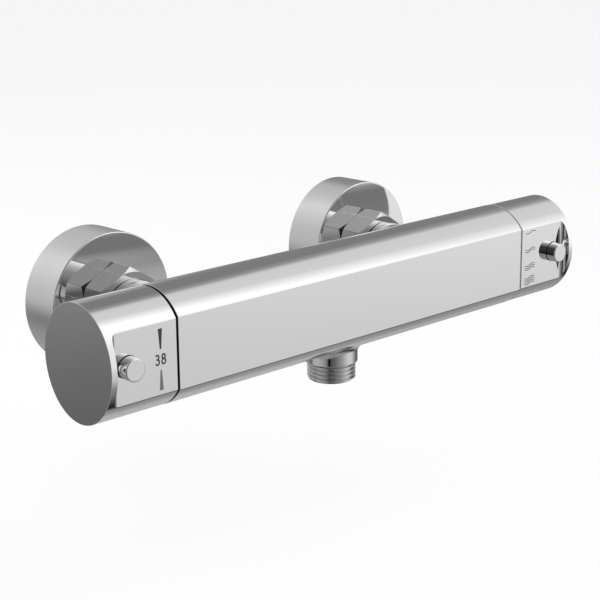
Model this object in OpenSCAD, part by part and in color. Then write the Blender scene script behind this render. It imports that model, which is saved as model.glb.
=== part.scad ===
// Thermostatic shower bar valve on two wall unions.
// Frame: X along the bar, +Y into the wall, +Z up, origin on the wall between the two inlets.

/* [Bar] */
// Distance from each inlet's axis to the nearer end of the body
inlet_from_end = 26.5; // [24:0.5:32]
// Depth of the oval bar, front to back, before the front flat is cut
bar_depth = 41.3; // [39.5:0.1:44]
// Height of the oval bar
bar_height = 46.7; // [44.5:0.1:50]
// Distance from the bar's axis to the front flat
flat_front = 16.4; // [16:0.1:17.5]
// Distance from the wall to the bar's axis
axis_to_wall = 79; // [77:0.5:90]

/* [Handles] */
// Length of each handle
handle_length = 33.2; // [32.5:0.1:40]
// Gap between each handle and the body
handle_gap = 1; // [0.8:0.1:1.4]
// How much the handle's oval is drawn in from the body's, on each side
handle_inset = 0.15; // [0.05:0.05:0.4]
// Wall thickness of a handle
handle_wall = 2; // [1.8:0.1:2.2]
// Length of the full oval rim left at the handle's outer end
end_rim = 2.7; // [2:0.1:3.2]
// Concave fillet where the flat runs into the end rim
flat_fillet = 2.5; // [1.5:0.1:2.8]
// Diameter of the grub screw that holds a handle on its carrier
grub_d = 4; // [3:0.5:4.5]
// Length of the grub screw
grub_length = 8; // [6:0.5:9]

/* [Buttons] */
// Diameter of a push button
button_d = 8.9; // [8:0.1:9.2]
// How far a button stands out of the flat
button_stand = 4.8; // [4.2:0.1:6]
// Distance from a button's centre to the handle's outer end
button_from_end = 10.3; // [10.2:0.1:11]
// Travel of a button when it is pressed
button_travel = 3.2; // [2:0.1:3.4]
// Play between a button and its hole in the handle
button_play = 0.3; // [0.2:0.05:0.4]
// Wire diameter of a button spring
button_wire = 0.6; // [0.4:0.05:0.6]

/* [Inlets] */
// Distance between the two inlets
inlet_spacing = 150; // [146:1:154]
// Diameter of the round wall flange
flange_d = 60; // [56:1:70]
// Depth of the wall flange
flange_depth = 20; // [18:0.5:21]
// Sheet thickness of the wall flange
flange_wall = 1.2; // [0.8:0.1:1.6]
// Height of the wall thread's axis above the union nut's axis
union_offset = 6; // [0:0.5:6.5]
// Length of the wall thread behind the wall plane
wall_thread_length = 14; // [10:0.5:18]
// Waterway bore of a wall union
union_bore_d = 15; // [12:0.5:15.5]
// Width of the union nut across its flats
nut_across = 30; // [29.5:0.5:32]
// Length of the union nut
nut_length = 12.5; // [12:0.1:13]
// Turn of the union nut's corners about the inlet's axis, in degrees
nut_turn = 27; // [0:1:60]
// Thickness of the strainer washer
washer_thick = 1.8; // [1.5:0.1:2]
// Radius of the body's inlet boss at the nut
boss_r = 14.6; // [14:0.1:15.2]
// Radius of the body's inlet boss where it runs into the bar
boss_root_r = 16.2; // [15.5:0.1:17]
// Length of the inlet nipple beyond the union nut
nipple_length = 11.2; // [10.8:0.1:12]
// Opening travel of a check valve's poppet
poppet_travel = 3; // [1.5:0.1:3.2]

/* [Threads] */
// Outside diameter of the half-inch pipe thread
half_inch_d = 20.955; // [20.8:0.005:21.1]
// Core diameter of the half-inch pipe thread
half_inch_core_d = 18.631; // [18.4:0.001:18.8]
// Pitch of the half-inch pipe thread
half_inch_pitch = 1.814; // [1.6:0.001:2]
// Outside diameter of the three-quarter-inch pipe thread
three_quarter_d = 26.441; // [26.2:0.001:26.6]
// Pitch of the temperature spindle's thread
spindle_pitch = 1.5; // [1:0.25:1.75]

/* [Outlet] */
// Distance of the outlet's axis behind the bar's axis
outlet_back = 5.4; // [4:0.1:6]
// Diameter of the smooth collar above the outlet thread
collar_d = 22.8; // [22.4:0.1:24]
// Depth of the collar's lower end below the bar's axis
collar_drop = 31; // [30:0.1:34]
// Length of the outlet thread
outlet_thread_length = 6.9; // [5.5:0.1:10]
// Bore of the outlet
outlet_bore_d = 14; // [12:0.5:15]

/* [Cartridge] */
// Bore of the thermostat chamber
chamber_d = 26.2; // [25.8:0.1:26.4]
// Depth of the thermostat chamber beyond the hot inlet's axis
chamber_beyond = 28; // [27.8:0.1:29.5]
// Depth of the threaded mouths at both ends of the body
mouth_depth = 10; // [9:0.5:10]
// Opening between the mixing spool and each of its two seats at rest
spool_gap = 1.2; // [1.15:0.05:1.4]
// Length of the mixing spool
spool_length = 19.6; // [19.2:0.1:19.8]
// Diameter of the wax element's bulb
bulb_d = 8.4; // [7:0.1:8.6]
// Wire diameter of the return spring
return_wire = 0.9; // [0.6:0.1:1]
// Wire diameter of the overload spring
overload_wire = 1.2; // [0.8:0.1:1.3]

/* [Flow control] */
// Bore of the headwork chamber
headwork_d = 20; // [19.8:0.1:20.4]
// Depth of the headwork chamber
headwork_depth = 44.5; // [44:0.5:46]
// Diameter of the ceramic discs
disc_d = 14.8; // [14.4:0.1:14.9]
// Thickness of each ceramic disc
disc_thick = 3; // [2.6:0.1:3.2]

/* [Hidden] */

// The two sides of the valve, as the sign of X
hot = -1;
cold = 1;

// Running clearance of shafts and sliders, on the radius
run = 0.06;
// Clearance of parts that are put together by hand, on the radius
slip = 0.1;
// Free space between pieces that pass each other
pass = 0.4;
// How far a cutter runs past the face it cuts
over = 1;
round_fn = 96;
small_fn = 32;

body_length = inlet_spacing + 2 * inlet_from_end;
body_half = body_length / 2;
oval_z = bar_height / 2;
oval_y = bar_depth / 2;

// Places a piece whose local +Z runs out of one end of the bar, on the bar's axis
module at_end(side) {
    translate([side * body_half, -axis_to_wall, 0]) rotate([0, side * 90, 0]) children();
}

// Places a piece whose local +Z runs from the wall to the bar, on one inlet's axis
module at_inlet(side) {
    translate([side * inlet_spacing / 2, 0, 0]) rotate([90, 0, 0]) children();
}

// Places a piece whose local +Z runs down from the bar's axis, on the outlet's axis
module at_outlet() {
    translate([0, -axis_to_wall + outlet_back, 0]) rotate([180, 0, 0]) children();
}

// In an end's frame, turns +Z to run from the bar's axis out through the front flat
module to_front(at) {
    translate([0, 0, at]) rotate([90, 0, 0]) children();
}

// In an end's frame, turns +Z to run from the bar's axis down to the underside
module to_underside(side, at) {
    translate([0, 0, at]) rotate([0, side * 90, 0]) children();
}

// Solid rod between two stations
module rod(r, from, to, fn = round_fn) {
    translate([0, 0, from]) cylinder(r = r, h = to - from, $fn = fn);
}

// Tube between two stations
module tube(outer, inner, from, to) {
    difference() {
        rod(outer, from, to);
        rod(inner, from - over, to + over);
    }
}

// Rubber ring of round section
module oring(mid, wire, at) {
    translate([0, 0, at]) rotate_extrude($fn = round_fn)
        translate([mid, 0]) circle(d = wire, $fn = small_fn);
}

// Toothed outline, each tooth as wide as its gap
module spline(radius, depth, teeth, grow) {
    step = 90 / teeth;
    polygon([for (i = [0 : 4 * teeth - 1]) let (r = radius + grow - (i % 4 < 2 ? 0 : depth))
        [r * cos(i * step), r * sin(i * step)]]);
}

// Coil spring as one unbroken tube of six sides, eight rings to a turn
module coil(mid, wire, from, to, turns) {
    sides = 6;
    steps = 8 * turns;
    climb = (to - from - wire) / turns;
    tilt = atan(climb / (2 * PI * mid));
    rings = [for (i = [0 : steps]) let (
            a = 360 * turns * i / steps,
            out = [cos(a), sin(a), 0],
            up = [sin(tilt) * sin(a), -sin(tilt) * cos(a), cos(tilt)],
            centre = mid * out + [0, 0, from + wire / 2 + climb * turns * i / steps])
        for (k = [0 : sides - 1])
            centre + wire / 2 * (cos(360 * k / sides) * out + sin(360 * k / sides) * up)];
    walls = [for (i = [0 : steps - 1], k = [0 : sides - 1]) let (
            a = i * sides + k, b = i * sides + (k + 1) % sides)
        each [[a, b, b + sides], [a, b + sides, a + sides]]];
    last = steps * sides;
    caps = [for (k = [1 : sides - 2]) each [[0, k + 1, k], [last, last + k, last + k + 1]]];
    polyhedron(points = rings, faces = concat(walls, caps));
}

// Half-inch male pipe thread as ridges on a core, with a chamfer at the far end
crest_share = 0.22;
root_share = 0.22;
module pipe_thread(length) {
    crest = half_inch_d / 2;
    core = half_inch_core_d / 2;
    turns = floor(length / half_inch_pitch);
    flank_share = (1 - crest_share - root_share) / 2;
    ridges = [for (i = [0 : turns - 1]) each [
        [core, i * half_inch_pitch],
        [core, (i + root_share) * half_inch_pitch],
        [crest, (i + root_share + flank_share) * half_inch_pitch],
        [crest, (i + 1 - flank_share) * half_inch_pitch]]];
    difference() {
        rotate_extrude($fn = round_fn)
            polygon(concat([[0, 0]], ridges,
                [[core, turns * half_inch_pitch], [core, length], [0, length]]));
        translate([0, 0, length - half_inch_pitch / 2]) difference() {
            cylinder(r = crest + over, h = half_inch_pitch, $fn = round_fn);
            cylinder(r1 = crest, r2 = crest - half_inch_pitch, h = half_inch_pitch, $fn = round_fn);
        }
    }
}

// Oval of the bar, in two halves, local X up and down, local Y front to back
module oval(inset) {
    for (low = [-bar_height, 0]) intersection() {
        scale([oval_z - inset, oval_y - inset]) circle(r = 1, $fn = round_fn);
        translate([low, -bar_height]) square([bar_height, 2 * bar_height]);
    }
}

module bar_section(inset, flat_inset) {
    difference() {
        oval(inset);
        translate([-bar_height, -flat_front + flat_inset - bar_depth])
            square([2 * bar_height, bar_depth]);
    }
}

// Stations along an inlet, measured out from the wall
nut_gap = 0.3;
nut_lip = 2.5;
nipple_collar = 2;
nut_start = flange_depth + nut_gap;
nut_end = nut_start + nut_length;
collar_out = nut_end - nut_lip;
collar_in = collar_out - nipple_collar;
union_end = collar_in - washer_thick;
boss_start = nut_end + pass;
nipple_end = nut_end + nipple_length;
nipple_r = 10.5;
union_r = three_quarter_d / 2;
hot_bore_r = 7;
cold_bore_r = 5.5;

// Stations along the thermostat, measured out from the body's end face
chamber_r = chamber_d / 2;
chamber_depth = inlet_from_end + chamber_beyond;
chamber_end = -chamber_depth;
mouth_r = 14.2;
seat_from_inlet = 2.3;
hot_seat = -inlet_from_end + seat_from_inlet;
spool_top = hot_seat - spool_gap;
spool_bottom = spool_top - spool_length;
cold_seat = spool_bottom - spool_gap;

// Waterways inside the body
mixed_r = 9;
mixed_front = 4;
mixed_low = 3;
mixed_high = 10;
headwork_r = headwork_d / 2;
headwork_mouth_r = 11;
headwork_floor = 3;
throat_r = 6.4;
cold_duct_r = 3.6;
cold_duct_back = 15.2;
cold_duct_lap = 11;
outlet_duct_r = 4;
outlet_duct_drop = 12.5;
outlet_duct_back = 2;
outlet_duct_lap = 12;

module body_waterways() {
    at_end(hot) {
        rod(chamber_r, chamber_end, over);
        rod(mouth_r, -mouth_depth, over);
    }
    at_end(cold) {
        rod(headwork_r, -headwork_depth, over);
        rod(headwork_mouth_r, -mouth_depth, over);
        rod(throat_r, -headwork_depth - headwork_floor - over, -headwork_depth + over);
    }
    for (side = [hot, cold]) at_inlet(side)
        rod(nipple_r + slip, boss_start - over, nipple_end + slip);
    at_inlet(hot) rod(hot_bore_r, nipple_end, axis_to_wall - chamber_r / 2);
    at_inlet(cold) rod(cold_bore_r, nipple_end, axis_to_wall - cold_duct_back + cold_duct_r / 2);
    // Mixed water, from the thermostat to the headwork
    for (lift = [mixed_low, mixed_high])
        translate([-body_half + chamber_depth - over, -axis_to_wall - mixed_front, lift])
            rotate([0, 90, 0])
                rod(mixed_r, 0, body_length - chamber_depth - headwork_depth - headwork_floor + over);
    // Cold water, from the cold inlet to the thermostat
    translate([-body_half + chamber_depth - cold_duct_lap, -axis_to_wall + cold_duct_back, 0])
        rotate([0, 90, 0])
            rod(cold_duct_r, 0, inlet_spacing / 2 + body_half - chamber_depth
                + cold_duct_lap + cold_bore_r);
    // Metered water, from the headwork back to the outlet
    translate([-outlet_duct_r, -axis_to_wall + outlet_duct_back, -outlet_duct_drop])
        rotate([0, 90, 0])
            rod(outlet_duct_r, 0, outlet_duct_r + body_half - headwork_depth + outlet_duct_lap);
    at_outlet()
        rod(outlet_bore_d / 2, outlet_duct_drop, collar_drop + outlet_thread_length + over);
}

boss_lap = 7;
module body_casting() {
    color("gainsboro") difference() {
        union() {
            translate([-body_half, -axis_to_wall, 0]) rotate([0, 90, 0])
                linear_extrude(body_length) bar_section(0, 0);
            for (side = [hot, cold]) at_inlet(side) translate([0, 0, boss_start])
                cylinder(r1 = boss_r, r2 = boss_root_r,
                    h = axis_to_wall - oval_y + boss_lap - boss_start, $fn = round_fn);
            at_outlet() {
                rod(collar_d / 2, 0, collar_drop);
                translate([0, 0, collar_drop]) pipe_thread(outlet_thread_length);
            }
        }
        body_waterways();
    }
}

// O-rings: wire, and the land that a groove leaves beside the wire
oring_wire = 1.5;
oring_land = 0.15;
module oring_groove(bore, at) {
    tube(bore + over, bore - oring_wire - 2 * run,
        at - oring_wire / 2 - oring_land, at + oring_wire / 2 + oring_land);
}
module seated_oring(bore, at) {
    oring(bore - oring_wire / 2 - run, oring_wire, at);
}

// Nipple that is fixed in the body and holds the union nut by its collar
check_r = 8;
nipple_oring_at = (boss_start + nipple_end) / 2;
module inlet_nipple(side) {
    color("goldenrod") at_inlet(side) difference() {
        union() {
            rod(union_r - pass, collar_in, collar_out);
            rod(nipple_r, collar_out, nipple_end);
        }
        rod(check_r + slip, collar_in - over, nipple_end + over);
        oring_groove(nipple_r + slip, nipple_oring_at);
    }
}
module hot_inlet_nipple() { inlet_nipple(hot); }
module cold_inlet_nipple() { inlet_nipple(cold); }

module nipple_orings() {
    color("dimgray") for (side = [hot, cold]) at_inlet(side)
        seated_oring(nipple_r + slip, nipple_oring_at);
}

// Hexagon nut, with the corners turned off at both ends
nut_face_r = 15.3;
nut_bevel = 30;
module union_nut(side) {
    corner = nut_across / 2 / cos(30);
    clear = corner + over;
    rise = (clear - nut_face_r) * tan(nut_bevel);
    color("silver") at_inlet(side) translate([0, 0, nut_start]) difference() {
        intersection() {
            rotate([0, 0, nut_turn]) cylinder(r = corner, h = nut_length, $fn = 6);
            rotate_extrude($fn = round_fn) polygon([[0, 0], [nut_face_r, 0], [clear, rise],
                [clear, nut_length - rise], [nut_face_r, nut_length], [0, nut_length]]);
        }
        rod(union_r + slip, -over, nut_length - nut_lip);
        rod(nipple_r + pass, 0, nut_length + over);
    }
}
module hot_union_nut() { union_nut(hot); }
module cold_union_nut() { union_nut(cold); }

// Rubber washer with a perforated strainer disc
strainer_r = 8.5;
strainer_thick = 0.4;
strainer_hole_r = 0.7;
strainer_step = 2.4;
module strainer_washer(side) {
    middle = (union_end + collar_in) / 2;
    color("slategray") at_inlet(side) {
        tube(union_r - pass, strainer_r, union_end, collar_in);
        difference() {
            rod(strainer_r + slip, middle - strainer_thick / 2, middle + strainer_thick / 2);
            for (ring = [0 : 3], i = [0 : max(0, 6 * ring - 1)])
                rotate([0, 0, ring == 0 ? 0 : 60 * i / ring]) translate([ring * strainer_step, 0, 0])
                    rod(strainer_hole_r, union_end, collar_in, small_fn);
        }
    }
}
module hot_strainer_washer() { strainer_washer(hot); }
module cold_strainer_washer() { strainer_washer(cold); }

// Wall union: half-inch thread into the wall, drum, and offset three-quarter-inch thread
drum_start = 1;
drum_length = 7;
drum_r = 17;
module s_union(side) {
    drum_end = drum_start + drum_length;
    color("goldenrod") at_inlet(side) difference() {
        union() {
            translate([0, union_offset, drum_start]) rotate([180, 0, 0])
                pipe_thread(wall_thread_length + drum_start);
            rod(drum_r, drum_start, drum_end);
            rod(union_r, drum_end, union_end);
        }
        translate([0, union_offset, 0])
            rod(union_bore_d / 2, -wall_thread_length - over, drum_end - drum_start);
        rod(union_bore_d / 2, 2 * drum_start, union_end + over);
    }
}
module hot_s_union() { s_union(hot); }
module cold_s_union() { s_union(cold); }

// Wall flange, an open drum with a collar and O-ring that grip the wall union
flange_edge = 0.6;
flange_collar = 6;
flange_collar_wall = 1.6;
flange_oring_at = flange_depth - flange_collar / 2;
grip_r = union_r + pass / 2;
module wall_flange(side) {
    r = flange_d / 2;
    groove_r = union_r + oring_wire + 2 * run;
    collar_r = groove_r + flange_collar_wall;
    color("gainsboro") at_inlet(side) difference() {
        rotate_extrude($fn = round_fn) polygon([
            [r - flange_wall, 0], [r, 0], [r, flange_depth - flange_edge],
            [r - flange_edge, flange_depth], [grip_r, flange_depth],
            [grip_r, flange_depth - flange_collar], [collar_r, flange_depth - flange_collar],
            [collar_r, flange_depth - flange_wall], [r - flange_wall, flange_depth - flange_wall]]);
        tube(groove_r, grip_r - over, flange_oring_at - oring_wire / 2 - oring_land,
            flange_oring_at + oring_wire / 2 + oring_land);
    }
}
module hot_wall_flange() { wall_flange(hot); }
module cold_wall_flange() { wall_flange(cold); }

module flange_orings() {
    color("dimgray") for (side = [hot, cold]) at_inlet(side)
        oring(union_r + oring_wire / 2 + run, oring_wire, flange_oring_at);
}

// Check valve: housing with a seat and a four-holed guide, poppet, and spring
check_sunk = 0.6;
check_start = collar_in + check_sunk;
check_end = nipple_end - check_sunk;
check_in_r = 6.3;
check_seat_r = 4.6;
check_lip = 2.6;
check_seat = check_start + check_lip;
guide_thick = 1.6;
guide_hole_r = 1.8;
poppet_r = 5.7;
poppet_thick = 1.4;
poppet_stem_r = 1.2;
check_wire = 0.5;
check_coil_r = 3.2;
module check_housing(side) {
    guide = check_end - guide_thick;
    color("white") at_inlet(side) difference() {
        rod(check_r, check_start, check_end);
        rod(check_seat_r, check_start - over, check_seat + over);
        rod(check_in_r, check_seat, guide);
        rod(poppet_stem_r + run, guide - over, check_end + over, small_fn);
        for (turn = [0 : 90 : 270]) rotate([0, 0, turn])
            translate([(check_in_r + poppet_stem_r) / 2 + guide_hole_r / 4, 0, 0])
                rod(guide_hole_r, guide - over, check_end + over, small_fn);
    }
}
module hot_check_housing() { check_housing(hot); }
module cold_check_housing() { check_housing(cold); }

module check_poppet(side) {
    color("red") at_inlet(side) {
        rod(poppet_r, check_seat + run / 2, check_seat + poppet_thick);
        rod(poppet_stem_r, check_seat + poppet_thick / 2, check_end, small_fn);
    }
}
module hot_check_poppet() { check_poppet(hot); }
module cold_check_poppet() { check_poppet(cold); }

module check_spring(side) {
    color("lightgray") at_inlet(side)
        coil(check_coil_r, check_wire, check_seat + poppet_thick, check_end - guide_thick, 5);
}
module hot_check_spring() { check_spring(hot); }
module cold_check_spring() { check_spring(cold); }

// The nose at each end of the body: a toothed brass end that carries the stop ring
nose_r = 10;
nose_height = 4;
nose_teeth = 30;
nose_depth = 0.5;
spindle_r = 4.5;
module nose() {
    translate([0, 0, -over]) linear_extrude(nose_height + over)
        spline(nose_r, nose_depth, nose_teeth, 0);
}

// The outer end of each spindle: a splined shaft with an O-ring and a screw hole
spline_depth = 0.4;
spline_teeth = 20;
spline_start = 4.6;
spindle_tip = 14.9;
screw_r = 2;
screw_depth = 9;
shaft_oring_wire = 1.2;
shaft_oring_at = -5;
module spindle_end(bottom) {
    difference() {
        union() {
            rod(spindle_r, bottom, spline_start);
            translate([0, 0, spline_start]) linear_extrude(spindle_tip - spline_start)
                spline(spindle_r, spline_depth, spline_teeth, -run);
        }
        rod(screw_r, spindle_tip - screw_depth - over, spindle_tip + over, small_fn);
        tube(spindle_r + over, spindle_r - shaft_oring_wire - run,
            shaft_oring_at - shaft_oring_wire / 2 - oring_land,
            shaft_oring_at + shaft_oring_wire / 2 + oring_land);
    }
}
module shaft_oring() {
    oring(spindle_r - shaft_oring_wire / 2, shaft_oring_wire, shaft_oring_at);
}

// Brass nut that closes the thermostat chamber and guides the spindle
module cartridge_nut() {
    color("goldenrod") at_end(hot) difference() {
        union() {
            rod(mouth_r - slip, -mouth_depth, 0);
            nose();
        }
        rod(spindle_r + run, -mouth_depth - over, nose_height + over);
    }
}

// Sleeve of the thermostat, with a hexagon guide at its outer end
sleeve_r = chamber_r - slip;
sleeve_in_r = 9.5;
sleeve_end = chamber_end + 2 * slip;
guide_hex_r = 8.7;
gallery_depth = 1.8;
hot_gallery_half = 6;
cold_gallery_low = 4;
cold_gallery_length = 7.6;
end_oring = 2.1;
hot_gallery = [-inlet_from_end - hot_gallery_half, -inlet_from_end + hot_gallery_half];
cold_gallery = [chamber_end + cold_gallery_low,
    chamber_end + cold_gallery_low + cold_gallery_length];
sleeve_orings = [(hot_gallery[1] - mouth_depth) / 2, (hot_gallery[0] + cold_gallery[1]) / 2,
    chamber_end + end_oring];
port_r = 1.5;
ports = 8;
module cartridge_sleeve() {
    color("goldenrod") at_end(hot) difference() {
        rod(sleeve_r, sleeve_end, -mouth_depth);
        rod(sleeve_in_r, sleeve_end - over, hot_seat);
        translate([0, 0, hot_seat - over])
            cylinder(r = guide_hex_r, h = -mouth_depth - hot_seat + 2 * over, $fn = 6);
        for (gallery = [hot_gallery, cold_gallery])
            tube(sleeve_r + over, sleeve_r - gallery_depth, gallery[0], gallery[1]);
        for (at = sleeve_orings) oring_groove(chamber_r, at);
        for (at = [hot_seat - port_r - slip, cold_seat + port_r + slip], i = [0 : ports - 1])
            translate([0, 0, at]) rotate([0, 90, 360 * i / ports])
                rod(port_r, sleeve_in_r - over, sleeve_r + over, small_fn);
    }
}

module cartridge_orings() {
    color("dimgray") at_end(hot) for (at = sleeve_orings) seated_oring(chamber_r, at);
}

// Cold seat, screwed into the sleeve's inner end, with a ledge for the return spring
seat_in_r = 7.3;
ledge_thick = 1;
ledge_hole_r = 5;
spring_ledge = sleeve_end + ledge_thick;
module cartridge_seat() {
    color("goldenrod") at_end(hot) difference() {
        rod(sleeve_in_r - run, sleeve_end, cold_seat);
        rod(seat_in_r, spring_ledge, cold_seat + over);
        rod(ledge_hole_r, sleeve_end - over, spring_ledge + over);
    }
}

// Temperature spindle: thrust collar and threaded stud below the shaft
thrust_r = 7.1;
thrust_thick = 2.2;
thrust_top = -mouth_depth - slip - run;
stud_top = thrust_top - thrust_thick;
stud_r = 4;
stud_length = 7;
stud_end = stud_top - stud_length;
module temperature_spindle() {
    color("goldenrod") at_end(hot) {
        spindle_end(thrust_top - thrust_thick / 2);
        rod(thrust_r, stud_top, thrust_top);
        rod(stud_r, stud_end, thrust_top - thrust_thick / 2);
    }
}

module temperature_spindle_oring() {
    color("dimgray") at_end(hot) shaft_oring();
}

// Regulating nut: hexagon flange that slides in the sleeve, with a spring cup below it
regulator_hex_r = 8.55;
regulator_hex = 3.2;
regulator_r = 6.8;
regulator_wall = 1.2;
cup_reach = 5.7;
regulator_top = stud_top - spindle_pitch;
regulator_end = spool_top - cup_reach;
spring_room_top = stud_end - spindle_pitch;
ring_room = 0.6;
ring_thick = 1;
ring_hole_r = 3.4;
plunger_thick = 1.6;
plunger_low = regulator_end + ring_room + ring_thick;
module regulating_nut() {
    color("burlywood") at_end(hot) difference() {
        union() {
            translate([0, 0, regulator_top - regulator_hex])
                cylinder(r = regulator_hex_r, h = regulator_hex, $fn = 6);
            rod(regulator_r, regulator_end, regulator_top);
        }
        rod(stud_r + run, spring_room_top - over, regulator_top + over);
        rod(regulator_r - regulator_wall, regulator_end - over, spring_room_top);
        rod(regulator_r - regulator_wall / 2, plunger_low - ring_thick - run, plunger_low);
    }
}

module overload_spring() {
    mid = regulator_r - regulator_wall - overload_wire / 2 - slip;
    color("lightgray") at_end(hot)
        coil(mid, overload_wire, plunger_low + plunger_thick, spring_room_top, 3);
}

module overload_plunger() {
    color("goldenrod") at_end(hot)
        rod(regulator_r - regulator_wall - slip, plunger_low, plunger_low + plunger_thick);
}

module plunger_ring() {
    color("lightgray") at_end(hot) tube(regulator_r - regulator_wall / 2 - run, ring_hole_r,
        plunger_low - ring_thick, plunger_low);
}

// Wax element with its piston, and the spool that it carries
wax_play = 0.4;
spool_wall = 1.8;
spool_r = sleeve_in_r - run;
spool_in_r = spool_r - spool_wall;
web_thick = 1.5;
web_height = 5.2;
web_top = spool_bottom + web_height;
element_collar = 1.8;
element_collar_r = 6;
element_guide_r = 3.2;
element_guide_top = regulator_end - 3 * wax_play;
bulb_r = bulb_d / 2;
bulb_length = 12;
piston_r = 1.4;
piston_length = 7.5;
module wax_piston() {
    color("silver") at_end(hot) rod(piston_r, plunger_low - piston_length, plunger_low, small_fn);
}

module wax_element() {
    color("peru") at_end(hot) difference() {
        union() {
            rod(element_guide_r, web_top, element_guide_top);
            rod(element_collar_r, web_top, web_top + element_collar);
            rod(bulb_r, web_top - bulb_length, web_top);
        }
        rod(piston_r + run, plunger_low - piston_length - 2 * wax_play,
            element_guide_top + over, small_fn);
    }
}

web_holes = 6;
web_hole_r = 1;
spool_oring_at = (spool_top + spool_bottom) / 2;
spool_oring_wire = 1.2;
module mixing_spool() {
    color("white") at_end(hot) difference() {
        rod(spool_r, spool_bottom, spool_top);
        rod(spool_in_r, web_top, spool_top + over);
        rod(spool_in_r, spool_bottom - over, web_top - web_thick);
        rod(bulb_r + slip, spool_bottom - over, spool_top);
        for (i = [0 : web_holes - 1]) rotate([0, 0, 360 * i / web_holes])
            translate([(spool_in_r + bulb_r) / 2, 0, 0])
                rod(web_hole_r, spool_bottom - over, spool_top, small_fn);
        tube(spool_r + over, spool_r - spool_oring_wire - run,
            spool_oring_at - spool_oring_wire / 2 - oring_land,
            spool_oring_at + spool_oring_wire / 2 + oring_land);
    }
}

module spool_oring() {
    color("dimgray") at_end(hot)
        oring(spool_r - spool_oring_wire / 2, spool_oring_wire, spool_oring_at);
}

module return_spring() {
    mid = seat_in_r - return_wire / 2 - pass;
    color("lightgray") at_end(hot)
        coil(mid, return_wire, spring_ledge, web_top - web_thick, 5);
}

// Handle: an oval cup with a flat front that stops at a full oval rim
inner_flat = flat_front - handle_wall;
handle_end = handle_gap + handle_length;
cavity_end = handle_end - end_rim - pass;
flat_end = handle_end - end_rim;
button_at = handle_end - button_from_end;
button_r = button_d / 2;
grub_out = oval_z - handle_inset - pass;
module handle_space(inset, from, to) {
    draw_in = handle_inset + handle_wall + inset;
    translate([0, 0, from]) linear_extrude(to - from) bar_section(draw_in, handle_wall + inset);
}

// Space in front of the flat, rounded where the flat meets the end rim
module flat_cutter() {
    rotate([0, -90, 0]) translate([0, 0, -bar_height]) linear_extrude(2 * bar_height) {
        translate([-over, -flat_front - bar_depth]) {
            square([flat_end + over, bar_depth - flat_fillet]);
            square([flat_end + over - flat_fillet, bar_depth]);
        }
        translate([flat_end - flat_fillet, -flat_front - flat_fillet])
            circle(r = flat_fillet, $fn = small_fn);
    }
}

module handle(side) {
    color("gainsboro") at_end(side) difference() {
        translate([0, 0, handle_gap]) linear_extrude(handle_length) oval(handle_inset);
        flat_cutter();
        handle_space(0, handle_gap - over, cavity_end);
        to_front(button_at) rod(button_r + button_play, spindle_r, bar_depth);
        to_underside(side, grub_at) rod(grub_d / 2 + run, nose_r, bar_height, small_fn);
    }
}
module temperature_handle() { handle(hot); }
module flow_handle() { handle(cold); }

// Push button: head, retaining collar, spring stem, and a finger for the stop ring
button_collar = 1.05;
button_collar_thick = 3.3;
button_edge = 0.35;
button_coil_r = 3.4;
button_collar_r = button_r + button_collar;
collar_high = inner_flat - slip;
collar_low = collar_high - button_collar_thick;
spring_seat = 4.6;
stem_r = 1.6;
stem_beyond = 0.8;
stem_end = spring_seat - stem_beyond;
finger_w = 4;
finger_thick = 1.3;
finger_gap = 1;
finger_end = nose_height + finger_gap;
module button(side) {
    face = flat_front + button_stand;
    color("gainsboro") at_end(side) {
        to_front(button_at) {
            rod(button_r, collar_low, face - button_edge);
            translate([0, 0, face - button_edge])
                cylinder(r1 = button_r, r2 = button_r - button_edge, h = button_edge, $fn = round_fn);
            rod(button_collar_r, collar_low, collar_high);
            rod(stem_r, stem_end, collar_low + over, small_fn);
        }
        translate([-finger_w / 2, -collar_low - finger_thick, finger_end])
            cube([finger_w, finger_thick, button_at - finger_end]);
    }
}
module safety_button() { button(hot); }
module eco_button() { button(cold); }

module button_spring(side) {
    color("lightgray") at_end(side) to_front(button_at)
        coil(button_coil_r, button_wire, spring_seat, collar_low, 4);
}
module safety_button_spring() { button_spring(hot); }
module eco_button_spring() { button_spring(cold); }

// Carrier that joins a handle to its spindle and guides the button
hub_r = 9;
hub_start = 6.6;
hub_web = 2;
plate_thick = 6;
screw_head_r = 3.5;
screw_head = 2.6;
carrier_end = cavity_end - slip;
grub_at = carrier_end - plate_thick / 2;
head_seat = spindle_tip + slip + hub_web;
module carrier(side) {
    color("white") at_end(side) difference() {
        union() {
            rod(hub_r, hub_start, carrier_end);
            handle_space(slip, carrier_end - plate_thick, carrier_end);
        }
        translate([0, 0, hub_start - over])
            linear_extrude(spindle_tip + slip - hub_start + over)
                spline(spindle_r, spline_depth, spline_teeth, slip);
        rod(screw_r + slip, spindle_tip, head_seat + over, small_fn);
        rod(screw_head_r, head_seat, carrier_end + over);
        to_front(button_at) {
            rod(button_collar_r + pass, spring_seat, bar_depth);
            rod(stem_r + pass, stem_end - button_travel - pass, bar_depth, small_fn);
        }
        translate([-finger_w / 2 - pass, -bar_depth, hub_start - over])
            cube([finger_w + 2 * pass, bar_depth - collar_low + button_travel + pass,
                button_at - hub_start + over]);
        to_underside(side, grub_at) rod(grub_d / 2 + run, nose_r, bar_height, small_fn);
    }
}
module temperature_carrier() { carrier(hot); }
module flow_carrier() { carrier(cold); }

module carrier_screw(side) {
    color("silver") at_end(side) difference() {
        union() {
            rod(screw_r - run, spindle_tip - screw_depth, head_seat + over, small_fn);
            rod(screw_head_r - slip, head_seat, head_seat + screw_head);
        }
        translate([0, 0, head_seat + screw_head / 2])
            cylinder(r = screw_r - slip, h = screw_head, $fn = 6);
    }
}
module temperature_carrier_screw() { carrier_screw(hot); }
module flow_carrier_screw() { carrier_screw(cold); }

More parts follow.
